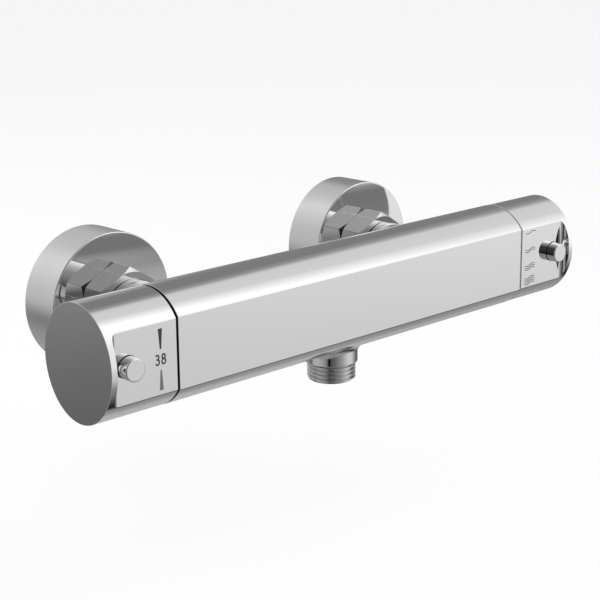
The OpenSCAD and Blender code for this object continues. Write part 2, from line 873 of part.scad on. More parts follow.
module grub_screw(side) {
    color("silver") at_end(side) to_underside(side, grub_at) difference() {
        rod(grub_d / 2, grub_out - grub_length, grub_out, small_fn);
        translate([0, 0, grub_out - grub_d / 2]) cylinder(r = grub_d / 4, h = grub_d, $fn = 6);
    }
}
module temperature_grub_screw() { grub_screw(hot); }
module flow_grub_screw() { grub_screw(cold); }

// Stop ring on the nose, with a lug beyond each limit and a low lug part of the way
rim_r = inner_flat - pass;
rim_wall = 0.8;
stop_base = 2.8;
stop_rim = 4;
stop_rim_top = nose_height + stop_rim;
stop_sleeve = 1.4;
low_lug = 0.4;
lug_turn = 8;
temperature_back = 160;
temperature_ahead = 65;
flow_ahead = 90;
eco_stop = 45;
module stop_lug(start, reach) {
    far = 2 * rim_r;
    turn = (start < 0 ? start - lug_turn : start) - 90;
    translate([0, 0, stop_base]) linear_extrude(stop_rim_top - stop_base) intersection() {
        difference() {
            circle(r = rim_r - rim_wall / 2, $fn = round_fn);
            circle(r = reach, $fn = round_fn);
        }
        polygon([[0, 0], far * [cos(turn), sin(turn)],
            far * [cos(turn + lug_turn), sin(turn + lug_turn)]]);
    }
}

module stop_ring(side, back, ahead, part_way) {
    half = asin((finger_w / 2 + pass) / collar_low);
    color("whitesmoke") at_end(side) difference() {
        union() {
            rod(nose_r + stop_sleeve, handle_gap + pass, nose_height);
            rod(rim_r, stop_base, nose_height);
            tube(rim_r, rim_r - rim_wall, stop_base, stop_rim_top);
            stop_lug(side * (ahead + half), collar_low - pass);
            stop_lug(-side * (back + half), collar_low - pass);
            stop_lug(side * (part_way + half), rim_r - rim_wall - low_lug);
        }
        translate([0, 0, -over]) linear_extrude(nose_height + 2 * over)
            spline(nose_r, nose_depth, nose_teeth, run);
    }
}
module temperature_stop_ring() { stop_ring(hot, temperature_back, temperature_ahead, 0); }
module flow_stop_ring() { stop_ring(cold, 0, flow_ahead, eco_stop); }

// Flat ring in the gap between the body and a handle
module glide_ring(side, paint) {
    color(paint) at_end(side) translate([0, 0, run / 2]) linear_extrude(handle_gap - run)
        difference() {
            bar_section(handle_inset + pass, pass);
            circle(r = mouth_r + slip, $fn = round_fn);
        }
}
module temperature_glide_ring() { glide_ring(hot, "black"); }
module flow_glide_ring() { glide_ring(cold, "darkgray"); }

// Ceramic headwork: bonnet with a barrel that holds both discs
disc_r = disc_d / 2;
seal_thick = 1.2;
seal_in_r = 6.5;
seal_top = -headwork_depth + seal_thick;
fixed_top = seal_top + disc_thick;
moving_top = fixed_top + run / 2 + disc_thick;
barrel_in_r = disc_r + slip;
shoulder_depth = 6;
barrel_shoulder = -mouth_depth - shoulder_depth;
waist_r = 8.7;
waist_length = 6.6;
waist = [moving_top + pass, moving_top + pass + waist_length];
window_w = 8;
headwork_oring_at = (waist[1] - mouth_depth) / 2;
key_w = 3;
key_r = 8.9;
key_thick = 2;
module disc_keys(grow) {
    translate([0, 0, seal_top - grow]) linear_extrude(key_thick + grow)
        square([key_w + 2 * grow, 2 * key_r + 2 * grow], center = true);
}

module headwork_bonnet() {
    color("goldenrod") at_end(cold) difference() {
        union() {
            rod(headwork_mouth_r - slip, -mouth_depth, 0);
            rod(headwork_r - slip, seal_top, -mouth_depth);
            nose();
        }
        rod(spindle_r + run, barrel_shoulder - over, nose_height + over);
        rod(barrel_in_r, seal_top - over, barrel_shoulder);
        tube(headwork_r, waist_r, waist[0], waist[1]);
        translate([0, 0, waist[0]]) linear_extrude(waist[1] - waist[0])
            for (size = [[window_w, 2 * headwork_d], [2 * headwork_d, window_w]])
                square(size, center = true);
        disc_keys(slip);
        oring_groove(headwork_r, headwork_oring_at);
    }
}

module headwork_oring() {
    color("dimgray") at_end(cold) seated_oring(headwork_r, headwork_oring_at);
}

// Flow spindle: flange under the bonnet's shoulder, and a tongue in the moving disc
flange_thick = 2;
tongue_w = 3.5;
tongue_l = 13;
tongue_deep = 1.5;
tongue_room = 5;
circlip_at = 4.2;
circlip_thick = 0.8;
circlip_groove = 0.5;
circlip_r = 6.2;
module flow_spindle() {
    color("goldenrod") at_end(cold) difference() {
        union() {
            spindle_end(moving_top + tongue_room);
            rod(disc_r - slip, barrel_shoulder - flange_thick, barrel_shoulder - run);
            translate([0, 0, moving_top - tongue_deep]) linear_extrude(tongue_room + 2 * tongue_deep)
                square([tongue_w, tongue_l], center = true);
        }
        tube(circlip_r, spindle_r - circlip_groove, circlip_at, circlip_at + circlip_thick);
    }
}

module flow_spindle_oring() {
    color("dimgray") at_end(cold) shaft_oring();
}

module spindle_circlip() {
    gap = spindle_r;
    color("silver") at_end(cold) difference() {
        tube(circlip_r, spindle_r - circlip_groove + run, circlip_at + run,
            circlip_at + circlip_thick - run);
        translate([-gap / 2, 0, circlip_at - over]) cube([gap, circlip_r + over, 2 * over + circlip_thick]);
    }
}

// Ceramic discs, each with two quarter ports
port_in_r = 2.8;
port_out_r = 6.2;
port_turn = 76;
module disc_ports(middle, from, to) {
    for (turn = [0, 180]) rotate([0, 0, middle + turn - port_turn / 2])
        rotate_extrude(angle = port_turn, $fn = round_fn)
            translate([port_in_r, from - over]) square([port_out_r - port_in_r, to - from + 2 * over]);
}

module moving_disc() {
    color("ivory") at_end(cold) difference() {
        rod(disc_r, moving_top - disc_thick, moving_top);
        disc_ports(0, moving_top - disc_thick, moving_top);
        translate([0, 0, moving_top - tongue_deep - slip]) linear_extrude(disc_thick)
            square([tongue_w + 2 * slip, tongue_l + 2 * slip], center = true);
    }
}

module fixed_disc() {
    color("ivory") at_end(cold) difference() {
        union() {
            rod(disc_r, seal_top, fixed_top);
            disc_keys(0);
        }
        disc_ports(90, seal_top, fixed_top);
    }
}

module disc_seal() {
    color("dimgray") at_end(cold) tube(headwork_r - slip, seal_in_r, -headwork_depth, seal_top);
}

body_casting();
hot_inlet_nipple();
cold_inlet_nipple();
nipple_orings();
hot_union_nut();
cold_union_nut();
hot_strainer_washer();
cold_strainer_washer();
hot_s_union();
cold_s_union();
hot_wall_flange();
cold_wall_flange();
flange_orings();
hot_check_housing();
cold_check_housing();
hot_check_poppet();
cold_check_poppet();
hot_check_spring();
cold_check_spring();
cartridge_nut();
cartridge_sleeve();
cartridge_seat();
cartridge_orings();
temperature_spindle();
temperature_spindle_oring();
regulating_nut();
overload_spring();
overload_plunger();
plunger_ring();
wax_piston();
wax_element();
mixing_spool();
spool_oring();
return_spring();
temperature_stop_ring();
temperature_glide_ring();
temperature_handle();
temperature_carrier();
temperature_carrier_screw();
temperature_grub_screw();
safety_button();
safety_button_spring();
headwork_bonnet();
headwork_oring();
flow_spindle();
flow_spindle_oring();
spindle_circlip();
moving_disc();
fixed_disc();
disc_seal();
flow_stop_ring();
flow_glide_ring();
flow_handle();
flow_carrier();
flow_carrier_screw();
flow_grub_screw();
eco_button();
eco_button_spring();
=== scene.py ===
import math

import bpy
import numpy as np
from mathutils import Matrix, Vector
from mathutils.geometry import delaunay_2d_cdt


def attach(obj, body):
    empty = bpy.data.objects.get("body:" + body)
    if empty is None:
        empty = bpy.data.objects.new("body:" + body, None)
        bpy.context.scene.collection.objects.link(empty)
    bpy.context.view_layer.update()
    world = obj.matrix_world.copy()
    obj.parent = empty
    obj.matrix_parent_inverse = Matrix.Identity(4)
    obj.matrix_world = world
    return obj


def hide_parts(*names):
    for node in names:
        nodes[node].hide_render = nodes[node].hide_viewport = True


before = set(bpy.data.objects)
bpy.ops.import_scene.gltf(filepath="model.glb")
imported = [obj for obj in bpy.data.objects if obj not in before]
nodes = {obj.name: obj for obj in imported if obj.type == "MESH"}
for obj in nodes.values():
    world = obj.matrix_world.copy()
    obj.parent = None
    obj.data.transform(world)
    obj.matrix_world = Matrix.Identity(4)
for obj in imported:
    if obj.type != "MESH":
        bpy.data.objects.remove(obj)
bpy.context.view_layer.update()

# Real sizes in millimetres. The body: its axis from the wall, half its length, the half axes of its
# oval section, the distance of its flat front from the axis, and the bevels along and around it
AXIS = 79.0
HALF = 101.5
OVAL_Y, OVAL_Z = 20.65, 23.35
FLAT = 16.4
FLAT_EDGE = 0.25
END_EDGE = 0.14
# A handle, in stations from the body's end: its gap, the end and the radius of the step up to its
# full oval, the end of its cavity, its own end and rounding, its button and its grub screw
GAP = 1.0
RIM_AT = 31.5
FILLET = 2.5
CAVITY_END = 31.1
HANDLE_END = 34.2
HANDLE_SOFT = 0.15
BUTTON_AT = 23.9
GRUB_AT = 28.0
# Its section stands back from the body's by INSET, and its wall is SHELL thick
INSET = 0.15
SHELL = 2
# Radii of the button and the grub screw's hole, and the button's clearance
BUTTON_R, BUTTON_SLIP = 4.45, 0.3
GRUB_R = 2.06
# Patch of the handle's underside around the grub screw: its stations and half its angle
PATCH_FROM, PATCH_TO, PATCH_INNER_TO, PATCH_ANGLE = 25.3, 30.6, 30.7, 0.15
# Inlets to either side of the middle, and the outlet behind the axis
INLET = 75.0
OUTLET_BACK = 5.4
# Threads of the union nuts and of the hose
UNION_THREAD_D = 26.441
HOSE_CORE_R, HOSE_CREST_R, HOSE_PITCH = 9.3155, 10.4775, 1.814
# Half the thickness of a printed mark
INK = 0.04
# Points around a wide mouth and around the grub screw's hole
MOUTH_POINTS, GRUB_POINTS = 96, 40
SIDES = {"hot": -1, "cold": 1}
# Angles are stretched by this while a patch of an oval wall is filled, to near its real shape
ANGLE_STRETCH = 20.0


def new_object(name, data):
    """Adds an object to the scene."""
    thing = bpy.data.objects.new(name, data)
    bpy.context.scene.collection.objects.link(thing)
    return thing


class Skin:
    """Collects patches with their own exact normals, and makes one welded mesh of them."""

    def __init__(self):
        self.v, self.n, self.f, self.slots, self.count = [], [], [], [], 0

    def add(self, P, N, faces, slot=0):
        """Adds points with their normals, or one normal for them all, and the faces on them."""
        P = np.asarray(P, float)
        N = np.broadcast_to(np.asarray(N, float), P.shape).reshape(-1, 3)
        P = P.reshape(-1, 3)
        N = N / np.maximum(np.linalg.norm(N, axis=1, keepdims=True), 1e-12)
        self.v.append(P)
        self.n.append(N)
        for face in faces:
            a, b, c = (P[i] for i in face[:3])
            normal = np.cross(b - a, c - b)
            if len(face) == 4 and np.linalg.norm(normal) < 1e-9:
                normal = np.cross(P[face[2]] - P[face[1]], P[face[3]] - P[face[2]])
            turned = list(face) if normal @ N[list(face)].sum(0) >= 0 else list(face)[::-1]
            self.f.append([i + self.count for i in turned])
            self.slots.append(slot)
        self.count += len(P)

    def grid(self, P, N, closed=False, skip=None, slot=0):
        """Adds faces between rows of points, but for a skipped span of rows and columns."""
        P = np.asarray(P, float)
        rows, cols = P.shape[:2]
        faces = []
        for i in range(rows - 1):
            for j in range(cols if closed else cols - 1):
                if skip and skip[0] <= i < skip[1] and skip[2] <= j < skip[3]:
                    continue
                k = (j + 1) % cols
                faces.append((i * cols + j, i * cols + k, (i + 1) * cols + k, (i + 1) * cols + j))
        self.add(P, N, faces, slot)

    def build(self, name, materials, body, replaced=()):
        """Welds points within 0.2 micrometres, and drops faces that fold up or come twice."""
        V = np.concatenate(self.v)
        N = np.concatenate(self.n)
        _, first, index = np.unique(np.round(V / 2e-4).astype(np.int64), axis=0,
                                    return_index=True, return_inverse=True)
        index = index.reshape(-1)
        faces, normals, slots, seen = [], [], [], set()
        for face, slot in zip(self.f, self.slots):
            ids, keep = [], []
            for i in face:
                if not ids or (index[i] != ids[-1] and index[i] != ids[0]):
                    ids.append(int(index[i]))
                    keep.append(i)
            key = tuple(sorted(ids))
            if len(set(ids)) < 3 or len(set(ids)) != len(ids) or key in seen:
                continue
            seen.add(key)
            faces.append(ids)
            slots.append(slot)
            normals.extend(N[i] for i in keep)
        mesh = bpy.data.meshes.new(name)
        mesh.from_pydata((V[first] * 0.001).tolist(), [], faces)
        mesh.polygons.foreach_set("material_index", slots)
        mesh.polygons.foreach_set("use_smooth", [True] * len(faces))
        mesh.normals_split_custom_set([tuple(n) for n in normals])
        for m in materials:
            mesh.materials.append(m)
        piece = new_object(name, mesh)
        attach(piece, body)
        if replaced:
            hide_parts(*replaced)


def rounded(points, radii, steps=4):
    """Closed outline with rounded corners, as strips of points and outward normals."""
    P = [np.array(p, float) for p in points]
    area = sum(a[0] * b[1] - a[1] * b[0] for a, b in zip(P, P[1:] + P[:1]))
    if area < 0:
        P, radii = P[::-1], list(radii)[::-1]
    count = len(P)
    ends, strips = [], []
    for i in range(count):
        d1 = P[i] - P[i - 1]
        d2 = P[(i + 1) % count] - P[i]
        d1, d2 = d1 / np.linalg.norm(d1), d2 / np.linalg.norm(d2)
        n1, n2 = np.array([d1[1], -d1[0]]), np.array([d2[1], -d2[0]])
        turn = math.atan2(d1[0] * d2[1] - d1[1] * d2[0], d1 @ d2)
        if radii[i] > 0 and abs(turn) > 0.01:
            reach = radii[i] * math.tan(abs(turn) / 2)
            start, sign = P[i] - d1 * reach, math.copysign(1, turn)
            centre = start - n1 * radii[i] * sign
            a0 = math.atan2(n1[1], n1[0])
            angles = a0 + turn * np.linspace(0, 1, steps + 1)
            normal = np.stack([np.cos(angles), np.sin(angles)], 1)
            strips.append((centre + sign * radii[i] * normal, normal))
            ends.append((start, P[i] + d2 * reach, n2))
        else:
            ends.append((P[i], P[i], n2))
    for i in range(count):
        a, b, n = ends[i][1], ends[(i + 1) % count][0], ends[i][2]
        if np.linalg.norm(b - a) > 1e-6:
            strips.append((np.array([a, b]), np.array([n, n])))
    return strips


class Frame3:
    """Local frame: W along an axis, U and V across it."""

    def __init__(self, origin, u, v, w):
        self.o, self.u, self.v, self.w = (np.array(x, float) for x in (origin, u, v, w))

    def point(self, a, b, c):
        """World points at local coordinates."""
        return (self.o + np.multiply.outer(a, self.u) + np.multiply.outer(b, self.v)
                + np.multiply.outer(c, self.w))

    def vector(self, a, b, c):
        """World directions of local ones."""
        return (np.multiply.outer(a, self.u) + np.multiply.outer(b, self.v)
                + np.multiply.outer(c, self.w))


def bar_frame(side):
    """Frame at the body's end face: W outwards along X, U along world Y, V along world Z."""
    return Frame3([side * HALF, -AXIS, 0], [0, 1, 0], [0, 0, 1], [side, 0, 0])


def front_frame(x, y=0):
    """Frame at mid height whose W looks away from the wall."""
    return Frame3([x, y, 0], [1, 0, 0], [0, 0, 1], [0, -1, 0])


def around(count):
    """Angles once around a circle."""
    return np.linspace(0, 2 * math.pi, count, endpoint=False)


def revolve(skin, place, points, radii, segments=160, steps=4, side_slot=0):
    """Turns an outline of (radius, station) about the frame's W. Its outer wall takes side_slot."""
    widest = max(p[0] for p in points)
    angle = around(segments)
    c, s = np.cos(angle), np.sin(angle)
    for pts, nrm in rounded(points, radii, steps):
        if np.all(pts[:, 0] < 1e-6):
            continue
        r, w = pts[:, :1], pts[:, 1:]
        P = place.point(r * c, r * s, w + 0 * c)
        N = place.vector(nrm[:, :1] * c, nrm[:, :1] * s, nrm[:, 1:] + 0 * c)
        skin.grid(P, N, closed=True, slot=side_slot if pts[:, 0].min() > widest - 1e-6 else 0)


def box(skin, low, high):
    """Box with small flat bevels, in world axes."""
    bounds, edge = np.array([low, high], float), 0.15
    others = ((1, 2), (0, 2), (0, 1))
    corners = {}
    for axis, (a, b) in enumerate(others):
        for sign in (0, 1):
            pts = []
            for sa, sb in ((0, 0), (1, 0), (1, 1), (0, 1)):
                key = np.zeros(3, int)
                key[[axis, a, b]] = sign, sa, sb
                p = bounds[key, range(3)] + edge * (1 - 2 * key)
                p[axis] = bounds[sign, axis]
                pts.append(p)
                corners.setdefault(tuple(key), {})[axis] = p
            n = np.zeros(3)
            n[axis] = 2 * sign - 1
            skin.add(pts, n, [(0, 1, 2, 3)])
    for key, p in corners.items():
        n = np.array([2 * k - 1 for k in key], float)
        skin.add([p[0], p[1], p[2]], n, [(0, 1, 2)])
        for axis, (a, b) in enumerate(others):
            if key[axis] == 0:
                q = corners[key[:axis] + (1,) + key[axis + 1:]]
                skin.add([p[a], p[b], q[b], q[a]], n * (np.arange(3) != axis), [(0, 1, 2, 3)])


def inside(point, ring):
    """Whether a point lies inside a closed ring of points."""
    nxt = np.roll(ring, -1, 0)
    rise = nxt[:, 1] - ring[:, 1]
    crossed = (ring[:, 1] > point[1]) != (nxt[:, 1] > point[1])
    rise = np.where(rise == 0, 1e-12, rise)
    x = (nxt[:, 0] - ring[:, 0]) * (point[1] - ring[:, 1]) / rise + ring[:, 0]
    return np.count_nonzero(crossed & (point[0] < x)) % 2 == 1


def filled(outer, holes, stretch=1.0):
    """Points and triangles of the region between an outer ring and its holes.

    The triangles are chosen with the second coordinate stretched."""
    rings = [np.array(ring, float) for ring in (outer, *holes)]
    pts = np.concatenate(rings)
    edges, first = [], 0
    for ring in rings:
        edges += [(first + i, first + (i + 1) % len(ring)) for i in range(len(ring))]
        first += len(ring)
    flat = [Vector((p[0], p[1] * stretch)) for p in pts]
    out, _, tris, origin, _, _ = delaunay_2d_cdt(flat, edges, [], 1, 1e-7)
    uv = np.array([[p[0], p[1] / stretch] for p in out])
    for i, ids in enumerate(origin):
        if ids:
            uv[i] = pts[ids[0]]
    keep = [tuple(t) for t in tris
            if not any(inside(uv[list(t)].mean(0), ring) for ring in rings[1:])]
    return uv, keep


def holed(skin, border, hole, surface, stretch=1.0):
    """Fills the region between a border and a hole, both in (u, v), on a curved surface."""
    uv, keep = filled(border, [hole], stretch)
    P, N = surface(uv[:, 0], uv[:, 1])
    skin.add(P, N, keep)


# Steps around the section's arc and across its bevels, and rows of points over a rounded end
ARC, BEVEL, ROUND_ROWS = 180, 4, 5


def corner_angle(a, f):
    """Angle from the oval's front to the edge of a flat at distance f."""
    return math.acos(f / a)


def oval_at(a, b, t):
    """Points of an oval in (y, z) at angles t from its front, and their normals."""
    n = np.stack([-np.cos(t) / a, np.sin(t) / b], 1)
    n /= np.linalg.norm(n, axis=1, keepdims=True)
    return np.stack([-a * np.cos(t), b * np.sin(t)], 1), n


def oval_surface(place, a, b, sign=1.0):
    """An oval's wall as a function of station and angle, which gives points and normals."""
    def surface(u, v):
        m = np.hypot(np.cos(v) / a, np.sin(v) / b)
        return (place.point(-a * np.cos(v), b * np.sin(v), u),
                place.vector(-sign * np.cos(v) / a / m, sign * np.sin(v) / b / m, 0 * u))
    return surface


def patch_border(rows, angles, span):
    """Border, in (station, angle), of the patch between two rows and two columns of a wall."""
    r0, r1, c0, c1 = span
    return ([(rows[r0][0], angles[r0][j]) for j in range(c0, c1 + 1)]
            + [(rows[i][0], angles[i][c1]) for i in range(r0 + 1, r1)]
            + [(rows[r1][0], angles[r1][j]) for j in range(c1, c0 - 1, -1)]
            + [(rows[i][0], angles[i][c0]) for i in range(r1 - 1, r0, -1)])


def patch_columns(t):
    """Columns to either side of the grub screw's patch on the underside."""
    return (int(np.searchsorted(t, 1.5 * math.pi - PATCH_ANGLE)),
            int(np.searchsorted(t, 1.5 * math.pi + PATCH_ANGLE)))


def section(a, b, f, d):
    """Parts of the flat-fronted oval: its arc, both bevels of size d and half the flat's height."""
    t0 = corner_angle(a, f)
    speed = math.hypot(a * math.sin(t0), b * math.cos(t0))
    t1 = t0 + d / speed
    t = np.linspace(t1, 2 * math.pi - t1, ARC + 1)
    arc, n = oval_at(a, b, t)
    zc = b * math.sin(t0)
    s = np.linspace(0, 1, BEVEL + 1)[:, None]
    parts = {"arc": (arc, n, t)}
    for name, sign, end, side in (("low", -1, arc[-1], n[-1]), ("high", 1, arc[0], n[0])):
        flat_end, corner = np.array([-f, sign * (zc - d)]), np.array([-f, sign * zc])
        pts = (1 - s) ** 2 * end + 2 * s * (1 - s) * corner + s ** 2 * flat_end
        parts[name] = (pts, s[:, 0], side)
    parts["half"] = zc - d
    return parts


def smooth(x):
    """Eases from 0 to 1."""
    x = np.clip(x, 0, 1)
    return x * x * (3 - 2 * x)


def shell_rows(skin, place, a, b, f, rows, span, hole, inward=False):
    """Sweeps the section through rows of (station, inset, radial, axial).

    The hole lies in the patch of this span of rows and columns. Returns the outline at each row."""
    sign = -1.0 if inward else 1.0
    parts = section(a, b, f, FLAT_EDGE)
    arc, n, t = parts["arc"]
    w, e, nr, nw = np.array(rows, float).T[..., None]
    e = e[:, None]

    def sweep(pts, nrm, skip=None):
        P = pts[None] - e * nrm[None]
        skin.grid(place.point(P[..., 0], P[..., 1], w + 0 * P[..., 0]),
                  place.vector(sign * nr * nrm[:, 0], sign * nr * nrm[:, 1], nw + 0 * nrm[:, 0]),
                  skip=skip)
        return P

    outlines = [sweep(arc, n, skip=span)]
    for name in ("low", "high"):
        pts, s, edge = parts[name]
        nrm = (1 - s)[:, None] * edge + s[:, None] * np.array([-1.0, 0.0])
        nrm /= np.linalg.norm(nrm, axis=1, keepdims=True)
        outlines.append(sweep(pts, nrm))
    half = parts["half"]
    front = np.array([[-f, -half], [-f, half]])
    outlines.append(np.repeat(front[None], len(rows), 0) - e * np.array([-1.0, 0.0]))
    holed(skin, patch_border(rows, [t] * len(rows), span), hole, oval_surface(place, a, b, sign),
          ANGLE_STRETCH)
    return outlines


def loop_of(outlines, row):
    """One closed loop of (y, z) from the parts of a section: arc, lower edge, flat, upper edge."""
    arc, low, high, front = (o[row] for o in outlines)
    return np.concatenate([arc, low[1:], front[1:], high[::-1][1:-1]])


def bar_round(start):
    """Rows that round an end which faces -W, from the end face to the full section."""
    return [(start + END_EDGE * (1 - math.sin(p)), END_EDGE * (1 - math.cos(p)),
             math.cos(p), -math.sin(p)) for p in np.linspace(math.pi / 2, 0, ROUND_ROWS)]


def circle(cx, cy, r, count):
    """Points of a circle."""
    a = around(count)
    return np.stack([cx + r * np.cos(a), cy + r * np.sin(a)], 1)


def tube_between(skin, top, bottom, centre_dir):
    """Wall of a hole from one ring of points to another; normals point to the hole's own axis."""
    top, bottom = np.array(top), np.array(bottom)
    c = (top.mean(0) + bottom.mean(0)) / 2
    axis = np.array(centre_dir, float)
    away = top - c
    away -= np.outer(away @ axis, axis)
    N = -away / np.linalg.norm(away, axis=1, keepdims=True)
    skin.grid([top, bottom], N, closed=True)


def fillet_ring(skin, place, line_r, taper, radius, height, true_normal):
    """Concave fillet where a round boss (axis W) leaves a surface w = height(u, v).

    line_r(w) is the boss's radius, and taper the angle by which it narrows along W. At each angle,
    halving finds the height of the circle that touches both. Its back is sunk in the metal."""
    segments, steps, samples, halvings = 288, 10, 1500, 40
    sunk, overlap = 1.2, 0.2
    ct = math.cos(taper)
    P, N, under = [], [], []
    for a in around(segments):
        ca, sa = math.cos(a), math.sin(a)
        base = line_r(height(0.0, 0.0))
        rho = np.linspace(base * 0.9, base + 2.2 * radius, samples)
        h = height(rho * ca, rho * sa)
        low, high = h.min() - 1, h.max() + 3 * radius
        for _ in range(halvings):
            w0 = (low + high) / 2
            rc = line_r(w0) + radius / ct
            gap = np.sqrt((rho - rc) ** 2 + (h - w0) ** 2).min() - radius
            if gap < 0:
                low = w0
            else:
                high = w0
        rc = line_r(w0) + radius / ct
        k = int(np.argmin((rho - rc) ** 2 + (h - w0) ** 2))
        foot = (rho[k], h[k])
        end = math.atan2(w0 - foot[1], rc - foot[0])
        psi = np.linspace(taper, end, steps + 1)
        r = rc - radius * np.cos(psi)
        w = w0 - radius * np.sin(psi)
        true = true_normal(foot[0] * ca, foot[0] * sa)
        blend = smooth(np.linspace(0, 1, steps + 1))[:, None]
        plane = np.stack([np.cos(psi) * ca, np.cos(psi) * sa, np.sin(psi)], 1)
        flat = np.array([math.cos(end) * ca, math.cos(end) * sa, math.sin(end)])
        n = plane + blend * (true - flat)
        P.append(np.stack([r * ca, r * sa, w], 1))
        N.append(n)
        deep, core = foot[1] - sunk, line_r(w0) - sunk
        inner = [(foot[0] - overlap, deep), (core, deep), (core, w[0])]
        under.append([(q[0] * ca, q[0] * sa, q[1]) for q in inner])
    P, N, under = np.array(P), np.array(N), np.array(under)
    skin.grid(place.point(*P.T), place.vector(*N.T), closed=True)
    ring = np.concatenate([P[:, -1:], under, P[:, :1]], 1)
    out = ring - ring.mean(1, keepdims=True)
    skin.grid(place.point(*ring.T), place.vector(*out.T), closed=True)


def thread(skin, place, core, crest, pitch, start, end, bore, slot=0):
    """Helical pipe thread with rounded crests and roots, a chamfered end and a runout."""
    segments, row_height, step = 144, 0.055, 1e-3
    chamfer, chamfer_play, runout, lip_width = 1.1, 0.15, 0.5, 0.35
    # Shares of half a pitch that the flat root and the rise from it take
    root_share, rise_share = 0.14, 0.72
    w = np.linspace(start, end, int((end - start) / row_height) + 1)
    A, W = np.meshgrid(around(segments), w)

    def radius(A, W):
        p = (W / pitch - A / (2 * math.pi)) % 1.0
        tri = 1 - np.abs(2 * p - 1)
        form = smooth((tri - root_share) / rise_share)
        r = core + (crest - core) * form
        r = np.minimum(r, crest + chamfer_play - chamfer + (end - W))
        fade = smooth((W - start) / runout)
        return core * (1 - fade) + r * fade

    r = radius(A, W)
    ra = (radius(A + step, W) - radius(A - step, W)) / (2 * step)
    rw = (radius(A, np.minimum(W + step, end))
          - radius(A, np.maximum(W - step, start))) / (2 * step)
    c, s = np.cos(A), np.sin(A)
    nx = c + ra / r * s
    ny = s - ra / r * c
    skin.grid(place.point(r * c, r * s, W), place.vector(nx, ny, -rw), closed=True, slot=slot)
    c, s, zero = c[0], s[0], 0 * c[0]
    root, back, tip, mouth, throat = (place.point(q * c, q * s, w + zero) for q, w in (
        (r[0], start), (bore, start), (r[-1], end), (bore + lip_width, end),
        (bore, end - lip_width)))
    skin.grid([root, back], -place.w, closed=True)
    skin.grid([tip, mouth], place.w, closed=True)
    skin.grid([mouth, throat], place.vector(-c, -s, 1 + zero), closed=True)
    skin.grid([throat, back], place.vector(-c, -s, zero), closed=True)


def add_node(t, kind, inputs=()):
    """New node, whose sockets take constants or links from other nodes' outputs."""
    node = t.nodes.new("ShaderNode" + kind)
    for socket, value in dict(inputs).items():
        if isinstance(value, bpy.types.NodeSocket):
            t.links.new(value, node.inputs[socket])
        else:
            node.inputs[socket].default_value = value
    return node


def mixed(t, share, a, b):
    """Mixes two shaders: a where the share is 0 and b where it is 1."""
    return add_node(t, "MixShader", {0: share, 1: a, 2: b}).outputs[0]


def tree(name):
    """New material, its node tree and its main shader."""
    m = bpy.data.materials.new(name)
    m.use_nodes = True
    t = m.node_tree
    shader = t.nodes["Principled BSDF"]
    return m, t, shader


def noise_rough(t, shader, low, high, scale):
    """Roughness that wanders between two values, as most of the noise lies at 0.3 to 0.7."""
    coords = add_node(t, "TexCoord")
    noise = add_node(t, "TexNoise", {"Vector": coords.outputs["Object"], "Scale": scale,
                                     "Detail": 3.0})
    spread = add_node(t, "MapRange", {"Value": noise.outputs["Fac"], "From Min": 0.3,
                                      "From Max": 0.7, "To Min": low, "To Max": high})
    t.links.new(spread.outputs["Result"], shader.inputs["Roughness"])
    return noise


def noise_bump(t, shader, noise, strength, distance):
    """Fine unevenness from the same noise."""
    bump = add_node(t, "Bump", {"Height": noise.outputs["Fac"], "Strength": strength,
                                "Distance": distance})
    t.links.new(bump.outputs["Normal"], shader.inputs["Normal"])


def metal(name, colour, low, high, scale=60.0, bump=0.0):
    """Metal with a roughness from low to high."""
    m, t, shader = tree(name)
    shader.inputs["Base Color"].default_value = (*colour, 1)
    shader.inputs["Metallic"].default_value = 1.0
    noise = noise_rough(t, shader, low, high, scale)
    if bump:
        noise_bump(t, shader, noise, bump, 0.0002)
    return m


def plain(name, colour, low, high, scale=300.0, bump=0.15, shine=0.5):
    """Plastic, rubber, ceramic or ink."""
    m, t, shader = tree(name)
    shader.inputs["Specular IOR Level"].default_value = shine
    shader.inputs["Base Color"].default_value = (*colour, 1)
    noise = noise_rough(t, shader, low, high, scale)
    noise_bump(t, shader, noise, bump, 0.0001)
    return m


chrome = metal("polished_chrome", (0.87, 0.87, 0.872), 0.03, 0.05)
soft_chrome = metal("turned_chrome", (0.90, 0.90, 0.902), 0.28, 0.34)
cut_chrome = metal("cut_chrome", (0.8, 0.8, 0.802), 0.22, 0.26)
nut_chrome = metal("nut_chrome", (0.72, 0.72, 0.722), 0.06, 0.12)
# Near-black metal, used as painted shade in the notch between union nut and wall flange
painted_shade_chrome = metal("painted_shade_chrome", (0.14, 0.14, 0.142), 0.2, 0.3)
plated = metal("satin_chrome", (0.80, 0.805, 0.815), 0.12, 0.2, 150.0, 0.05)
brass = metal("turned_brass", (0.83, 0.62, 0.30), 0.22, 0.34, 400.0, 0.1)
steel = metal("spring_steel", (0.62, 0.62, 0.63), 0.2, 0.32, 500.0, 0.08)
rubber = plain("seal_rubber", (0.018, 0.018, 0.019), 0.55, 0.75)
black = plain("black_glide_ring", (0.003, 0.003, 0.0032), 0.6, 0.75, shine=0.08)
grey = plain("grey_glide_ring", (0.33, 0.335, 0.345), 0.45, 0.6)
white_plastic = plain("white_acetal", (0.74, 0.745, 0.74), 0.35, 0.5)
red_plastic = plain("red_poppet", (0.45, 0.05, 0.04), 0.35, 0.5)
ceramic = plain("white_ceramic", (0.82, 0.82, 0.80), 0.18, 0.28, 900.0, 0.05)
wax_copper = metal("copper_bulb", (0.78, 0.42, 0.27), 0.25, 0.4, 300.0, 0.1)
ink = plain("dark_print", (0.035, 0.035, 0.036), 0.4, 0.55, 800.0, 0.05)
pale_ink = plain("grey_print", (0.15, 0.15, 0.153), 0.4, 0.55, 800.0, 0.05)

